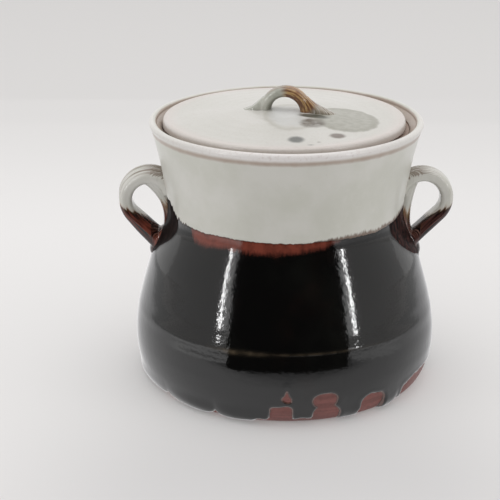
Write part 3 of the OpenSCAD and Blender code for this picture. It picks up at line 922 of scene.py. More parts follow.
def body_mesh(jar):
    """The clay: one closed outline turned round the axis, from the hollow under the foot over the outside,
    the rim, the gallery and the ledge down the inside to the middle of the floor."""
    meet_z = roll_meeting(jar)[1]
    heel = heel_heights(jar, 0, 40)
    rise = np.linspace(jar.belly_height, meet_z, 76)[1:]
    heights = np.concatenate([heel, rise])
    outside = np.stack([wall_radius(jar, heights), heights], axis=-1)
    curve_top = jar.floor_thickness + jar.floor_curve
    inside_z = np.linspace(jar.ledge_height - jar.ledge_thickness - jar.ledge_slope, curve_top, 60)
    inside = np.stack([wall_radius(jar, inside_z) - jar.wall, inside_z], axis=-1)
    curve_r = inside[-1, 0] - jar.floor_curve
    bevel = jar.hollow_radius + 1.5 * MM
    outline = chain(
        line((POLE, jar.hollow_depth), (jar.hollow_radius, jar.hollow_depth), 10),
        line((jar.hollow_radius, jar.hollow_depth), (bevel, 0), 4)[1:],
        line((bevel, 0), (jar.foot_radius, 0), 8)[1:-1],
        outside,
        arc(roll_middle(jar), jar.roll_radius, ROLL_START, math.pi, 28)[1:],
        line((jar.gallery_radius, jar.ledge_height), (jar.ledge_radius, jar.ledge_height), 6),
        line((jar.ledge_radius, jar.ledge_height),
             (jar.ledge_radius, jar.ledge_height - jar.ledge_thickness), 4)[1:],
        inside,
        arc((curve_r, curve_top), jar.floor_curve, 0, -math.pi / 2, 16)[1:],
        line((curve_r, jar.floor_thickness), (POLE, jar.floor_thickness), 10)[1:])
    angle = azimuths(256)
    radius, z = outline[:, :1], outline[:, 1:]
    wall_part = step(0.5 * MM, 6 * MM, z) * step(82 * MM, 80 * MM, np.abs(z - 80 * MM)) * (radius > 60 * MM)
    points = turned(angle, radius + thrown(angle, z) * wall_part, z + 0 * angle)
    mesh = skin("stoneware_body", points)
    store(mesh, "wash", step(148 * MM, 155 * MM, z) * (radius < 78.5 * MM) + 0 * angle)
    mesh.set_sharp_from_angle(angle=math.radians(38))
    return mesh


def dark_mesh(jar):
    """The dark glaze: outside the clay by its thickness, dipping under the clay where the foot is bare.
    Its edge rises as a quarter round and swells into rolls where the glaze has run, and it stands a little
    higher on the clay smeared out beside the ears. A coarse back inside the clay closes it."""
    top = jar.waist_height + 16 * MM
    heel = heel_heights(jar, 0.05, 50)
    ridge = jar.ridge_position + np.linspace(-3, 3, 15) * MM
    rise = np.linspace(jar.belly_height, top, 58)[1:]
    z = np.unique(np.concatenate([heel, rise, ridge]))[:, None]
    angle = azimuths(768)
    clay = wall_radius(jar, z) + thrown(angle, z) * step(0.5 * MM, 6 * MM, z)
    front = swell(angle, 0.12, 0.42)
    left = swell(angle, -0.32, 0.16)
    clay = clay + jar.ridge_height * front * swell(z, jar.ridge_position, jar.ridge_spread)
    beside = 0.25 + 1.7 * swell(np.abs(angle), 0.97, 0.34)
    clay = clay + jar.ridge_height * beside * swell(z, jar.ridge_position, 3.2 * MM)
    bare = bare_field(angle, z)
    smear = ear_smear(angle, z)
    below = glaze_line(angle) - z
    coat = DARK_COAT + 0.04 * MM * ripple(angle, z, 41, 6, 60)
    run = run_share(angle)
    coat = coat + 2.8 * MM * run * swell(z, 3.5 * MM, 5.5 * MM)
    coat = coat + 0.5 * MM * step(-0.3 * MM, 1.8 * MM, smear) * step(0.5 * MM, 3.5 * MM, below)
    coat = coat * (1 - 0.75 * step(0, 4.0 * MM, -below))
    lip = quarter_round(bare, 1.6 * MM)
    bead = 0.15 * MM * swell(bare, 1.9 * MM, 1.1 * MM)
    offset = np.where(bare > 0, (coat + bead) * lip, 0.5 * np.clip(bare, -1.0 * MM, 0))
    front_side = turned(angle, clay + offset, z)
    back_z = np.linspace(top, z[0, 0], 8)[:, None]
    back = turned(angle, wall_radius(jar, back_z) - COAT_BACK, back_z)
    mesh = skin("dark_glaze_coat", np.concatenate([front_side, back]), loop=True)

    def keep(name, values, behind=0.0):
        """Keeps numbers for the front, and one number for the hidden back."""
        store(mesh, name, np.concatenate([values, np.full(back.shape[:2], behind)]))

    thin = 0.75 * (1 - np.clip(bare / (1.4 * MM), 0, 1))
    crest = left * swell(z, jar.ridge_position - 0.4 * MM, 1.3 * MM)
    crest = crest * (0.7 + 0.3 * ripple(angle, z, 43, 40, 900))
    crest = np.maximum(crest, 0.35 * front * swell(z, jar.ridge_position, 0.7 * MM))
    keep("rust", rust_field(angle, z), -10 * MM)
    keep("thin", thin)
    keep("lip", swell(bare, 0.25 * MM, 0.55 * MM) * step(0.8 * MM, 3 * MM, z))
    keep("ridge", np.clip(crest, 0, 1))
    keep("dry", np.clip(smear, -5 * MM, 5 * MM), -5 * MM)
    return mesh


def pale_mesh(jar):
    """The pale glaze: from its ragged lower edge up the collar, over the roll of the rim and down the
    gallery inside, with a coarse back inside the clay."""
    angle = azimuths(620)
    meet_z = roll_meeting(jar)[1]
    low = glaze_line(angle)
    middle = roll_middle(jar)
    tube = jar.roll_radius + PALE_COAT
    top = middle[1] + tube * math.sin(ROLL_START)
    share = np.concatenate([np.linspace(0, 0.10, 16), np.linspace(0.10, 1, 46)[1:]])[:, None]
    z = low + (top - low) * share
    above = z - low
    lip = quarter_round(above, 1.3 * MM)
    coat = PALE_COAT + 0.2 * MM * swell(above, 1.7 * MM, 1.2 * MM) * (1 - share)
    coat = coat + 0.1 * MM * step(0.9, 1, share)
    away = np.abs(np.degrees(np.abs(angle)) - 90)
    pinch = 0.6 * MM * swell(away, 11, 3) * swell(z, 128 * MM, 12 * MM)
    pinch = pinch - 0.35 * MM * swell(away, 20, 5) * swell(z, 118 * MM, 9 * MM)
    collar = turned(angle, wall_radius(jar, z) + thrown(angle, z) * (1 - share) + (coat + pinch) * lip, z)
    bend = np.linspace(ROLL_START, math.pi, 40)[1:, None]
    sag = 0.1 * MM * ripple(angle, 0.0, 51, 5, 0)
    roll = turned(angle, middle[0] + tube * np.cos(bend) + 0 * angle,
                  middle[1] + (tube + sag * step(0, 1, bend) - 0.1 * MM) * np.sin(bend))
    corner = (jar.gallery_radius - 0.45 * MM, jar.ledge_height + 0.3 * MM)
    inside = chain(line((middle[0] - tube, middle[1]), corner, 8)[1:],
                   line(corner, (jar.gallery_radius + 1.4 * MM, corner[1]), 3)[1:])
    gallery = turned(angle, inside[:, :1], inside[:, 1:])
    back_bend = np.linspace(math.pi, ROLL_START, 12)[:, None]
    back_tube = jar.roll_radius - 0.6 * MM
    back_roll = turned(angle, middle[0] + back_tube * np.cos(back_bend),
                       middle[1] + back_tube * np.sin(back_bend))
    back_share = np.linspace(1, 0, 14)[1:, None]
    back_z = low + (meet_z - low) * back_share
    back = turned(angle, wall_radius(jar, back_z) - COAT_BACK, back_z)
    mesh = skin("pale_glaze_coat", np.concatenate([collar, roll, gallery, back_roll, back]), loop=True)
    # Weight towards the front, for painted highlights on the rim's roll
    front_highlight = 0.5 + 0.5 * swell(angle, 0.0, 0.8)
    # Tan band under the rim's roll: thin glaze, and partly painted shade under the roll
    band = 0.90 * step(top - 6.0 * MM, top - 2.9 * MM, z)
    band = band * (1 - 0.7 * step(top - 1.5 * MM, top - 0.5 * MM, z))
    # Painted shade on the collar round the ears' roots, laid on as tan
    band = np.maximum(band, 0.62 * swell(away, 11, 6) * swell(z, 125 * MM, 9 * MM))
    # Tan on the roll: thin glaze, painted shade on its inner side under the lid, and less tan at the front as
    # painted light
    crest = 0.12 * swell(bend, ROLL_START, 0.4) + 0.75 * step(1.9, 2.7, bend) + 0.40 - 0.28 * front_highlight
    hidden = np.zeros((len(back_roll) + len(back), angle.shape[1]))
    # The gallery's tan is thin glaze with painted shade in the gap under the lid
    store(mesh, "thin", np.concatenate([band + 0 * angle, crest, np.full(gallery.shape[:2], 0.9), hidden]))
    others = np.zeros((len(roll) + len(gallery) + len(hidden), angle.shape[1]))
    right_side = step(0.15, 0.5, angle) * step(1.9, 1.5, angle)
    reach = (0.75 + 2.4 * right_side + 0.6 * swell(angle, -1.1, 0.2)) * MM
    store(mesh, "edge", np.concatenate([swell(above, 0.1 * MM, reach), others]))
    store(mesh, "ochre", np.concatenate([right_side + 0 * z, others]))
    # Painted highlight on the rim's crest and just under it, strongest at the front
    under = step(top - 1.6 * MM, top - 0.5 * MM, z) * front_highlight
    over = step(2.1, 1.2, bend) * front_highlight
    store(mesh, "bead", np.concatenate([under, over, others[len(roll):]]))
    return mesh


def liner_mesh(jar):
    """The glaze inside: the inside of the wall and the floor, moved in by its thickness, with its back
    inside the clay."""
    curve_top = jar.floor_thickness + jar.floor_curve
    z = np.linspace(jar.ledge_height - jar.ledge_thickness - jar.ledge_slope - 0.2 * MM, curve_top, 70)

    def inside(coat):
        """Outline of the inside, moved in by a coat."""
        wall = np.stack([wall_radius(jar, z) - jar.wall - coat, z], axis=-1)
        middle = (wall[-1, 0] + coat - jar.floor_curve, curve_top)
        bend = arc(middle, jar.floor_curve - coat, 0, -math.pi / 2, 24)[1:]
        return chain(wall, bend, line(bend[-1], (POLE, bend[-1, 1]), 12)[1:])

    outline = chain(inside(-LINER_BACK)[::-1], inside(LINER_COAT))
    angle = azimuths(256)
    height = outline[:, 1:] + 0 * angle
    points = turned(angle, outline[:, :1] + thrown(angle, height) * (outline[:, :1] > 40 * MM), height)
    mesh = skin("inner_glaze_coat", points)
    mesh.set_sharp_from_angle(angle=math.radians(60))
    store(mesh, "thin", 0.8 * swell(outline[:, 1:] + 0 * angle, z[0], 2.5 * MM))
    return mesh


def lid_dome(lid, r, start):
    """Rise of the lid at radius r, flat at its middle and where it starts."""
    return lid.rise * np.clip(1 - (r / start) ** 2, 0, 1) ** 2


def lid_shift(lid):
    """How far the loose lid lies off the jar's axis."""
    return np.array([lid.shift_x, lid.shift_y, 0.0])


def lid_clay_mesh(lid):
    """The lid's clay: a shallow dome with a rounded edge and a flat ring underneath."""
    half = lid.thickness / 2
    flat = lid.radius - half
    r = np.linspace(POLE, flat, 50)
    top = np.stack([r, lid.bottom + lid.thickness + lid_dome(lid, r, flat)], axis=-1)
    under_r = np.linspace(flat, POLE, 60)
    under = np.stack([under_r, lid.bottom + lid_dome(lid, under_r, lid.seat_radius)], axis=-1)
    edge = arc((flat, lid.bottom + half), half, math.pi / 2, -math.pi / 2, 20)[1:-1]
    outline = chain(top, edge, under)[::-1]
    points = turned(azimuths(256), outline[:, :1], outline[:, 1:])
    return skin("lid_clay", points + lid_shift(lid))


def oval(x, y, middle, half, lean):
    """How far a point lies inside a leaning oval: above 0 inside and 0 on its edge, in metres."""
    turn = math.radians(lean)
    dx, dy = x - middle[0] * MM, y - middle[1] * MM
    u = (dx * math.cos(turn) + dy * math.sin(turn)) / (half[0] * MM)
    v = (dy * math.cos(turn) - dx * math.sin(turn)) / (half[1] * MM)
    return (1 - np.hypot(u, v)) * min(half) * MM


def lid_glaze_mesh(lid):
    """The lid's glaze: over the dome and round the edge, with slow waves, and a back inside the clay. The
    edge's section is a superellipse, squarer than a round."""
    half = lid.thickness / 2
    flat = lid.radius - half
    r = np.linspace(POLE, flat, 84)[:, None]
    angle = azimuths(420)
    top_z = lid.bottom + lid.thickness + lid.glaze + lid_dome(lid, r, flat)
    waves = 0.07 * MM * ripple(angle, r, 61, 4, 120) + 0.04 * MM * np.sin(TURN * r / (8 * MM) + angle)
    top = turned(angle, r, top_z + waves * step(0, 10 * MM, r) * step(flat, flat - 6 * MM, r) - 0.05 * MM)
    end = math.radians(-8)
    bend = np.linspace(math.pi / 2, end, 30)[1:, None]
    tube = half + lid.glaze
    power = 0.62
    out, lift = signed_power(np.cos(bend), power), signed_power(np.sin(bend), power)
    edge = turned(angle, flat + tube * out + 0 * angle, lid.bottom + half + tube * lift)
    depth = 0.6 * MM
    back_bend = np.linspace(end, math.pi / 2, 6)[:, None]
    back_edge = turned(angle, flat + (half - depth) * np.cos(back_bend) + 0 * angle,
                       lid.bottom + half + (half - depth) * np.sin(back_bend))
    back_r = np.linspace(flat, POLE, 10)[1:, None]
    back = turned(angle, back_r, lid.bottom + lid.thickness - depth + lid_dome(lid, back_r, flat))
    points = np.concatenate([top, edge, back_edge, back])[::-1] + lid_shift(lid)
    mesh = skin("lid_glaze_coat", points)
    x, y = points[..., 0], points[..., 1]
    thin = np.concatenate([0.34 * swell(r, flat, 4.0 * MM) + 0 * angle,
                           0.34 + 0.14 * swell(bend, math.radians(90), 0.5) + 0 * angle,
                           np.zeros((len(back_edge) + len(back), angle.shape[1]))])[::-1]
    store(mesh, "thin", thin)
    for name, ovals in LID_MARKS.items():
        store(mesh, name, np.max([oval(x, y, *mark) for mark in ovals], axis=0))
    return mesh


def ear_mesh(name, ear, side, twists, tail_face, tail_line, tuck, drop, swollen):
    """An ear: a strap carried round the bow and down the straight outer leg, a rounded tail down the
    collar and pads under the leg's foot, blended into one skin. Side is 1 for the right ear and -1 for
    the left one, twists turn the strap at its root and its foot, tail_face is the tail's inner face as
    distances from the axis and heights, tail_line is the height of the pale glaze's end on it above the
    bow's middle, tuck draws the bow in, drop lowers it, and swollen thickens the leg outwards."""
    middle = np.array([ear.bow_distance - tuck, ear.bow_height - drop])
    bow_radius = ear.bow_radius
    bow = np.linspace(EAR_ROOT, -ear.leg_lean, 110)
    around = np.stack([np.cos(bow), np.sin(bow)], axis=-1)
    fall = np.array([-math.sin(ear.leg_lean), -math.cos(ear.leg_lean)])
    reach = np.linspace(0, LEG_LENGTH, 46)[1:, None]
    turn_point = bow_radius * around[-1]
    flat = np.concatenate([middle + bow_radius * around, middle + turn_point + reach * fall])
    out = np.concatenate([around, np.repeat(around[-1:], len(reach), axis=0)])
    run = run_length(flat)
    root = swell(run, 0, 16 * MM)
    foot = swell(run, run[-1] - 6 * MM, 9 * MM)
    share = step(0.3, 0.75, run / run[-1])
    swollen = swollen * step(0.55, 0.8, run / run[-1])
    slack = 0.25 * MM * np.sin(TURN * run / (31 * MM) + side)
    thickness = ear.strap_thickness + 1.0 * MM * root + 1.0 * MM * foot + slack + swollen
    width = ear.strap_width + 2.0 * MM * root + 1.5 * MM * foot - slack
    flat = flat + out * (swollen / 2)[:, None]
    sideways = np.array([0.0, side, 0.0])

    def stand(points):
        """Points in space from distances out along the ear's side and heights."""
        return np.stack([side * points[..., 0], 0 * points[..., 0], points[..., 1]], axis=-1)

    turn = side * (twists[0] * (1 - share) + twists[1] * share)
    strap = swept(stand(flat), stand(out), sideways, thickness, width, turn, 3.2,
                  (ear.groove_spacing, ear.groove_depth, 0.9 * MM))
    face = spline(np.asarray(tail_face) * MM, 70)
    away = left_of(face)
    t = np.linspace(0, 1, len(face))
    thick = (4.5 + 6.5 * step(0, 0.45, t)) * MM
    wide = ear.tail_width + 1.5 * MM * (1 - step(0, 0.4, t)) + 3.5 * MM * step(0.55, 1, t)
    tail = swept(stand(face - away * thick[:, None] / 2), stand(away), sideways, thick, wide, 0 * t, 2.4,
                 (3.6 * MM, 0.35 * MM, 0.8 * MM))
    slope = stand(np.array([-math.sin(WALL_LEAN), math.cos(WALL_LEAN)]))
    level = stand(np.array([math.cos(WALL_LEAN), math.sin(WALL_LEAN)]))
    pads = [ball(stand(np.array(spot) * MM), level, sideways, slope, np.array(radii) * MM)
            for spot, radii in EAR_PADS]
    mesh = worked(name, [strap, tail] + pads, 7)
    # Places on the strap, for the finish: round the bow, down the leg or on the tail
    at = corners(mesh)
    x, y, z = side * at[:, 0] - middle[0], at[:, 1], at[:, 2] - middle[1]
    spin = np.arctan2(z, x)
    far = np.hypot(x, z)
    below = (x - turn_point[0]) * fall[0] + (z - turn_point[1]) * fall[1]
    proud = (x - turn_point[0]) * around[-1, 0] + (z - turn_point[1]) * around[-1, 1]
    on_leg = (spin < -ear.leg_lean) & (below > 0) & (proud > -9 * MM)
    on_tail = step(2 * MM, -4 * MM, x)
    lower = np.asarray(tail_face[-5:])[::-1]
    deep = side * at[:, 0] - np.interp(at[:, 2] / MM, lower[:, 1], lower[:, 0]) * MM
    on_strap = np.where(on_leg, bow_radius * ear.leg_lean + below, -bow_radius * spin)
    store(mesh, "along", np.where(on_tail > 0.5, z, on_strap))
    from_middle = np.where(on_tail > 0.5, deep, np.where(on_leg, proud, far - bow_radius))
    store(mesh, "across", y + 0.8 * from_middle)
    outer = step(bow_radius, bow_radius + 2 * MM, far) * step(-0.2, 0.3, spin)
    lines = swell(np.abs(y), ear.groove_spacing / 2, 0.9 * MM) + swell(np.abs(y), 5.2 * MM, 0.7 * MM)
    rooted = 0.78 * step(0.8, 1.8, spin) * step(0.98, 1.16, far / bow_radius)
    rooted = np.maximum(rooted, 0.34 * step(-0.5, 0.4, spin) * step(0.98, 1.14, far / bow_radius))
    store(mesh, "groove", np.maximum(lines * outer * (0.62 + 0.38 * step(0.6, 1.9, spin)), rooted))
    lift = np.where(on_leg, proud, np.clip(far - bow_radius, -6 * MM, 6 * MM))
    inner = step(-3.0 * MM, -4.2 * MM, lift)
    border = (1 - on_tail) * (-5.6 * MM + 0.55 * lift - 4.0 * MM * inner) + on_tail * tail_line
    store(mesh, "down", border - z)
    store(mesh, "tail", on_tail * step(-27 * MM, -20 * MM, z))
    return mesh


def loop_mesh(lid):
    """The lid's loop: a strap carried over a round arch, with a smeared tail that runs out from each foot,
    thins down and lies on the lid."""
    base = lid.bottom + lid.thickness + lid.glaze + lid.rise
    turn = lid.loop_turn
    spread = np.array([math.cos(turn), math.sin(turn), 0.0])
    across = np.array([-math.sin(turn), math.cos(turn), 0.0])
    up = np.array([0.0, 0.0, 1.0])
    centre_point = lid_shift(lid) + lid.loop_shift * spread

    def strap(points, count, thickness, width):
        """A strap along a curve in the loop's plane, its thickness and width given in millimetres."""
        path = spline(np.asarray(points, dtype=float), count)
        out = left_of(path)
        centre = centre_point + path[:, :1] * spread + (base + path[:, 1:]) * up
        t = np.linspace(0, 1, count)
        thick = np.interp(t, np.linspace(0, 1, len(thickness)), thickness) * MM
        wide = np.interp(t, np.linspace(0, 1, len(width)), width) * MM
        return swept(centre, out[:, :1] * spread + out[:, 1:] * up, across, thick, wide, 0 * t, 2.5,
                     (3.4 * MM, 0.3 * MM, 0.8 * MM))

    sweep = np.radians(np.linspace(190, -10, 15))
    arch = np.stack([lid.arch_radius * np.cos(sweep),
                     lid.arch_lift + lid.arch_radius * np.sin(sweep)], axis=-1)
    thick, wide = lid.loop_thickness / MM, lid.loop_width / MM
    parts = [strap(arch, 120, [thick + 0.6, thick, thick - 0.2, thick, thick + 0.4],
                   [wide - 1.5, wide - 0.5, wide, wide - 0.5, wide - 1.5])]
    left = np.array([(-28.5, -2.2), (-23.0, -1.4), (-18.6, 0.0), (-15.0, 2.6), (-12.4, 6.0)]) * MM
    right = np.array([(11.8, 7.0), (14.0, 4.0), (17.2, 1.4), (21.5, -0.2), (26.0, -1.2), (31.5, -2.2)]) * MM
    parts.append(strap(left, 60, [1.2, 3.4, 5.2, 6.4, 5.0], [4.5, 8.5, 10, 9.5, 8]))
    parts.append(strap(right, 70, [5.0, 6.6, 6.6, 5.4, 3.4, 1.2], [8, 9.5, 10.5, 10, 8, 4]))
    mesh = worked("lid_loop_strap", parts, 4)
    # Places on the strap, for the finish: along its spread, up from the lid and out from the arch
    at = corners(mesh) - centre_point
    run = at @ spread
    rise = at[:, 2] - base
    far = np.hypot(run, rise - lid.arch_lift)
    store(mesh, "along", np.arctan2(rise, run) * lid.arch_radius)
    store(mesh, "across", at @ across + 0.8 * (far - lid.arch_radius))
    store(mesh, "warm", np.minimum(run + 0.6 * MM, (15.5 * MM - run) + 0.8 * rise))
    # Painted shade on the underside, inside the arch
    store(mesh, "under", step(lid.arch_radius - 0.5 * MM, lid.arch_radius - 3.0 * MM, far))
    brow = step(lid.arch_radius + 1.6 * MM, lid.arch_radius + 3.2 * MM, far)
    store(mesh, "brow", brow * step(-16 * MM, -9 * MM, run))
    store(mesh, "tail", step(13 * MM, 18 * MM, run))
    return mesh


# Stage

ONLY_MIRRORED = ("glossy",)
# The plane of the mirrored room in front of the jar, in metres
FRONT = -0.48
# Edge of the dark room on that plane, as x and z, and of the dark floor in front of the jar, as x and y
ROOM_EDGE = ((-0.56, 1.2), (-0.50, 0.45), (-0.465, 0.33), (-0.432, 0.145), (-0.408, 0.0),
             (0.457, 0.0), (0.470, 0.145), (0.508, 0.33), (0.535, 0.45), (0.60, 1.2))
FLOOR_EDGE = ((-0.251, -0.303), (-0.140, -0.188), (-0.112, -0.188), (-0.086, -0.203), (-0.051, -0.226),
              (-0.016, -0.245), (0.035, -0.246), (0.085, -0.235), (0.134, -0.212), (0.156, -0.198),
              (0.252, -0.281), (0.457, FRONT), (-0.408, FRONT))
# Middle line of the tube lights, as x and z
TUBE_LINE = ((0.560, 0.085), (0.562, 0.145), (0.572, 0.25), (0.600, 0.35), (0.622, 0.42), (0.640, 0.46),
             (0.75, 1.1))
# Tilt of the side lamps in radians, and distance of the bright floor's beams from the middle
SIDE_TILT = 0.995
BEAM = 0.27
# Tones of the floor's painted shade far back and painted shadow of the jar near it, and of what the glazes
# mirror of it
FLOOR_FAR_SHADE = (0.540, 0.531, 0.526)
FLOOR_NEAR_SHADOW = (0.48, 0.472, 0.474)
MIRRORED_LEFT = (0.66, 0.655, 0.66)
MIRRORED_RIGHT = (0.25, 0.25, 0.26)
MIRRORED_SIDES = (0.38, 0.38, 0.38)
MIRRORED_SHADE = (0.25, 0.25, 0.255)


def fan(name, points, material, seen=ONLY_MIRRORED):
    """A flat card of the stage from its corners, seen only by the named rays, or by all if none is named."""
    mesh = bpy.data.meshes.new(name)
    mesh.from_pydata([[float(v) for v in point] for point in points], [], [tuple(range(len(points)))])
    mesh.materials.append(material)
    card = bpy.data.objects.new(name, mesh)
    bpy.context.scene.collection.objects.link(card)
    for ray in ("camera", "diffuse", "glossy", "transmission", "volume_scatter", "shadow"):
        setattr(card, "visible_" + ray, not seen or ray in seen)


def panel(name, middle, right, up, material, seen=ONLY_MIRRORED):
    """A flat rectangle of the stage, from its middle and two half sides, seen as a fan is."""
    middle, right, up = (np.asarray(v, dtype=float) for v in (middle, right, up))
    signs = ((-1, -1), (1, -1), (1, 1), (-1, 1))
    fan(name, [middle + a * right + b * up for a, b in signs], material, seen)


def glow(f, tone, strength):
    """Makes a finish of the stage glow and nothing else, and returns its material."""
    return f.done(base_color=(0, 0, 0), roughness=1.0, specular_ior_level=0.0, emission_color=tone,
                  emission_strength=strength)


def lay_floor(look):
    """The pale floor: painted shade far back and a painted shadow of the jar in front of it, with a faint
    glow of its own.
    """
    f = Finish("studio_floor")
    depth, width = f.axis("Y"), f.axis("X")
    # Painted shade: the floor darkens far back, where its light falls off
    tone = f.mix(depth.step(0.20, 0.65), look.floor, FLOOR_FAR_SHADE)
    # Painted shadow of the jar on the floor in front of it, deepest in the middle
    middle = width.band(-0.20, -0.06, 0.06, 0.20)
    near = depth.band(-0.05, -0.16, -0.34, -0.60)
    tone = f.mix(near * (0.08 + 0.6 * middle), tone, FLOOR_NEAR_SHADOW)
    material = f.done(base_color=tone, roughness=0.75, specular_ior_level=0.2, emission_color=tone,
                      emission_strength=0.28)
    panel("studio_floor", (0, 0, -0.0004), (6, 0, 0), (0, 6, 0), material, ())


def light_room(scene, stage):
    """Light from all sides, with one large lamp overhead and one at each side."""
    world = bpy.data.worlds.new("studio_room")
    world.use_nodes = True
    room = world.node_tree.nodes["Background"]
    room.inputs["Color"].default_value = (1.0, 0.992, 0.985, 1.0)
    room.inputs["Strength"].default_value = stage.daylight
    scene.world = world
    lamps = (("overhead_light", (0.0, 0.5, 2.4), 0.0, (2.4, 1.8), stage.overhead),
             ("left_light", (-1.0, 0.0, 0.75), -SIDE_TILT, (1.0, 1.6), stage.walls),
             ("right_light", (1.0, 0.0, 0.75), SIDE_TILT, (1.0, 1.6), stage.walls))
    for name, spot, tilt, size, power in lamps:
        light = bpy.data.lights.new(name, "AREA")
        light.shape = "RECTANGLE"
        light.size, light.size_y = size
        light.energy = power
        lamp = bpy.data.objects.new(name, light)
        lamp.location = spot
        lamp.rotation_euler = (0.0, tilt, 0.0)
        lamp.visible_camera = False
        lamp.visible_glossy = name == "overhead_light"
        scene.collection.objects.link(lamp)


def bright_floor(stage):
    """The floor as the glazes mirror it: shaded in front of the jar and crossed by a beam at each side."""
    f = Finish("bright_floor")
    depth, width = f.axis("Y"), f.axis("X")
    shade = width.band(-0.27, -0.19, 0.19, 0.27) * depth.step(-0.13, -0.23)
    beam = (width + BEAM).band(-0.06, 0.0, 0.0, 0.06)
    beam = beam + (width - BEAM).band(-0.06, 0.0, 0.0, 0.06) * 0.6
    level = f.mix(width.step(-0.12, 0.15) * 0.3, MIRRORED_LEFT, MIRRORED_RIGHT)
    level = f.mix((width * width).step(0.10, 0.21), level, MIRRORED_SIDES)
    level = f.mix(shade, level, MIRRORED_SHADE)
    level = f.mix(beam * depth.step(0.0, -0.1), level, (1.0, 1.0, 1.0))
    return glow(f, level, stage.screens / 0.62)


def hang_mirrored_room(stage):
    """What only the glazes mirror: a dark room in front, a white screen behind, a bright floor, and two
    tall tube lights, each with a fainter veil round it."""
    dark = glow(Finish("dark_room"), (0, 0, 0), 0.0)
    fan("dark_room", [(x, FRONT, z) for x, z in ROOM_EDGE], dark)
    fan("dark_floor", [(x, y, 0.0003) for x, y in FLOOR_EDGE], dark)
    white = glow(Finish("white_screens"), (1, 0.995, 0.99), stage.screens)
    panel("back_screen", (0, 0.6, 0.5), (1.4, 0, 0), (0, 0, 0.5), white)
    panel("bright_floor", (0, 0.1, 0.0001), (0.8, 0, 0), (0, 0.6, 0), bright_floor(stage))
    tube = glow(Finish("tube_light"), (1, 1, 1), stage.tube)
    veil = glow(Finish("tube_veil"), (1, 1, 1), stage.tube * 0.06)
    bands = ((tube, "tube_light", 0.016, 0.016, 0.0), (veil, "tube_veil", 0.125, 0.034, 0.001))
    for side in (-1, 1):
        shift = 0.015 + 0.015 * side
        for material, name, inward, outward, behind in bands:
            inner = [(side * (x + shift - inward), FRONT - behind, z) for x, z in TUBE_LINE]
            outer = [(side * (x + shift + outward), FRONT - behind, z) for x, z in reversed(TUBE_LINE)]
            fan(name, inner + outer, material)


def set_camera(scene, stage):
    """The camera, at the photograph's viewing angle."""
    camera = bpy.data.cameras.new("photo_camera")
    camera.lens = stage.focal_length
    camera.sensor_width = 36
    camera.clip_start = 0.01
    viewer = bpy.data.objects.new("photo_camera", camera)
    viewer.location = stage.camera_place
    viewer.rotation_euler = (math.pi / 2 - stage.camera_tilt, 0, 0)
    scene.collection.objects.link(viewer)
    scene.camera = viewer


# Operators

def settings_of(context):
    """The jar's settings on the scene."""
    return context.scene.water_jar


class JAR_OT_body(bpy.types.Operator):
    """Turn the clay of the jar"""

    bl_idname = "water_jar.body"
    bl_label = "Stoneware body"

    def execute(self, context):
        s = settings_of(context)
        place("stoneware_body", body_mesh(s.jar), clay_finish(s.look), "jar", ["jar_body"])
        return {"FINISHED"}


class JAR_OT_glazes(bpy.types.Operator):
    """Coat the jar with its dark, pale and inner glazes"""

    bl_idname = "water_jar.glazes"
    bl_label = "Glaze coats"

    def execute(self, context):
        s = settings_of(context)
        place("dark_glaze_coat", dark_mesh(s.jar), dark_finish(s.look), "jar", ["dark_glaze"])
        place("pale_glaze_coat", pale_mesh(s.jar), collar_finish(s.look), "jar", ["pale_glaze"])
        place("inner_glaze_coat", liner_mesh(s.jar), liner_finish(s.look), "jar", ["liner_glaze"])
        return {"FINISHED"}


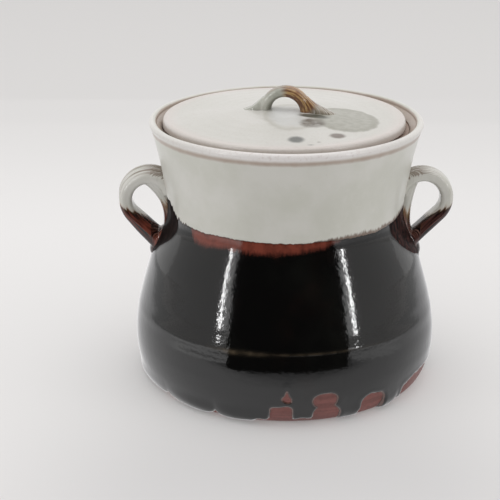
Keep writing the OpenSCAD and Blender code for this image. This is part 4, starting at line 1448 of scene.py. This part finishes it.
class JAR_OT_ears(bpy.types.Operator):
    """Pull the two ears and blend them into the collar"""

    bl_idname = "water_jar.ears"
    bl_label = "Ears"

    def execute(self, context):
        s = settings_of(context)
        finish = ear_finish(s.look)
        ear = s.ear
        right = ear_mesh("right_ear_strap", ear, 1, (0.0, 0.0), RIGHT_TAIL, RIGHT_TAIL_LINE,
                         0.0, 0.0, 0.0)
        place("right_ear_strap", right, finish, "jar", ["right_ear"])
        left = ear_mesh("left_ear_strap", ear, -1, (ear.root_twist, ear.foot_twist), LEFT_TAIL,
                        LEFT_TAIL_LINE, ear.left_tuck, ear.left_drop, ear.left_swollen)
        place("left_ear_strap", left, finish, "jar", ["left_ear"])
        return {"FINISHED"}


class JAR_OT_lid(bpy.types.Operator):
    """Turn the lid, glaze it and set the loop on it"""

    bl_idname = "water_jar.lid"
    bl_label = "Lid and loop"

    def execute(self, context):
        s = settings_of(context)
        clay = bpy.data.materials.get("bare_stoneware") or clay_finish(s.look)
        place("lid_clay", lid_clay_mesh(s.lid), clay, "lid", ["lid_plate"])
        place("lid_glaze_coat", lid_glaze_mesh(s.lid), lid_finish(s.look), "lid", ["lid_glaze"])
        place("lid_loop_strap", loop_mesh(s.lid), loop_finish(s.look), "lid", ["lid_loop"])
        return {"FINISHED"}


class JAR_OT_stage(bpy.types.Operator):
    """Set the floor, the studio light and the camera"""

    bl_idname = "water_jar.stage"
    bl_label = "Stage"

    def execute(self, context):
        s = settings_of(context)
        context.scene.view_settings.view_transform = "Standard"
        lay_floor(s.look)
        light_room(context.scene, s.stage)
        hang_mirrored_room(s.stage)
        set_camera(context.scene, s.stage)
        return {"FINISHED"}


class JAR_PT_panel(bpy.types.Panel):
    """Sidebar panel that lists the jar's operators"""

    bl_idname = "JAR_PT_panel"
    bl_label = "Water jar"
    bl_space_type = "VIEW_3D"
    bl_region_type = "UI"
    bl_category = "Water jar"

    def draw(self, context):
        for operator in OPERATORS:
            self.layout.operator(operator.bl_idname)


OPERATORS = (JAR_OT_body, JAR_OT_glazes, JAR_OT_ears, JAR_OT_lid, JAR_OT_stage)
CLASSES = (JarSizes, EarSizes, LidSizes, GlazeLooks, StageSizes, JarSettings) + OPERATORS + (JAR_PT_panel,)


def register():
    """Adds the classes, and the settings on the scene."""
    for entry in CLASSES:
        bpy.utils.register_class(entry)
    bpy.types.Scene.water_jar = bpy.props.PointerProperty(type=JarSettings)


def unregister():
    """Takes the settings and the classes away again."""
    del bpy.types.Scene.water_jar
    for entry in reversed(CLASSES):
        bpy.utils.unregister_class(entry)


def main():
    register()
    for name in ("body", "glazes", "ears", "lid", "stage"):
        getattr(bpy.ops.water_jar, name)()


if __name__ == "__main__":
    main()
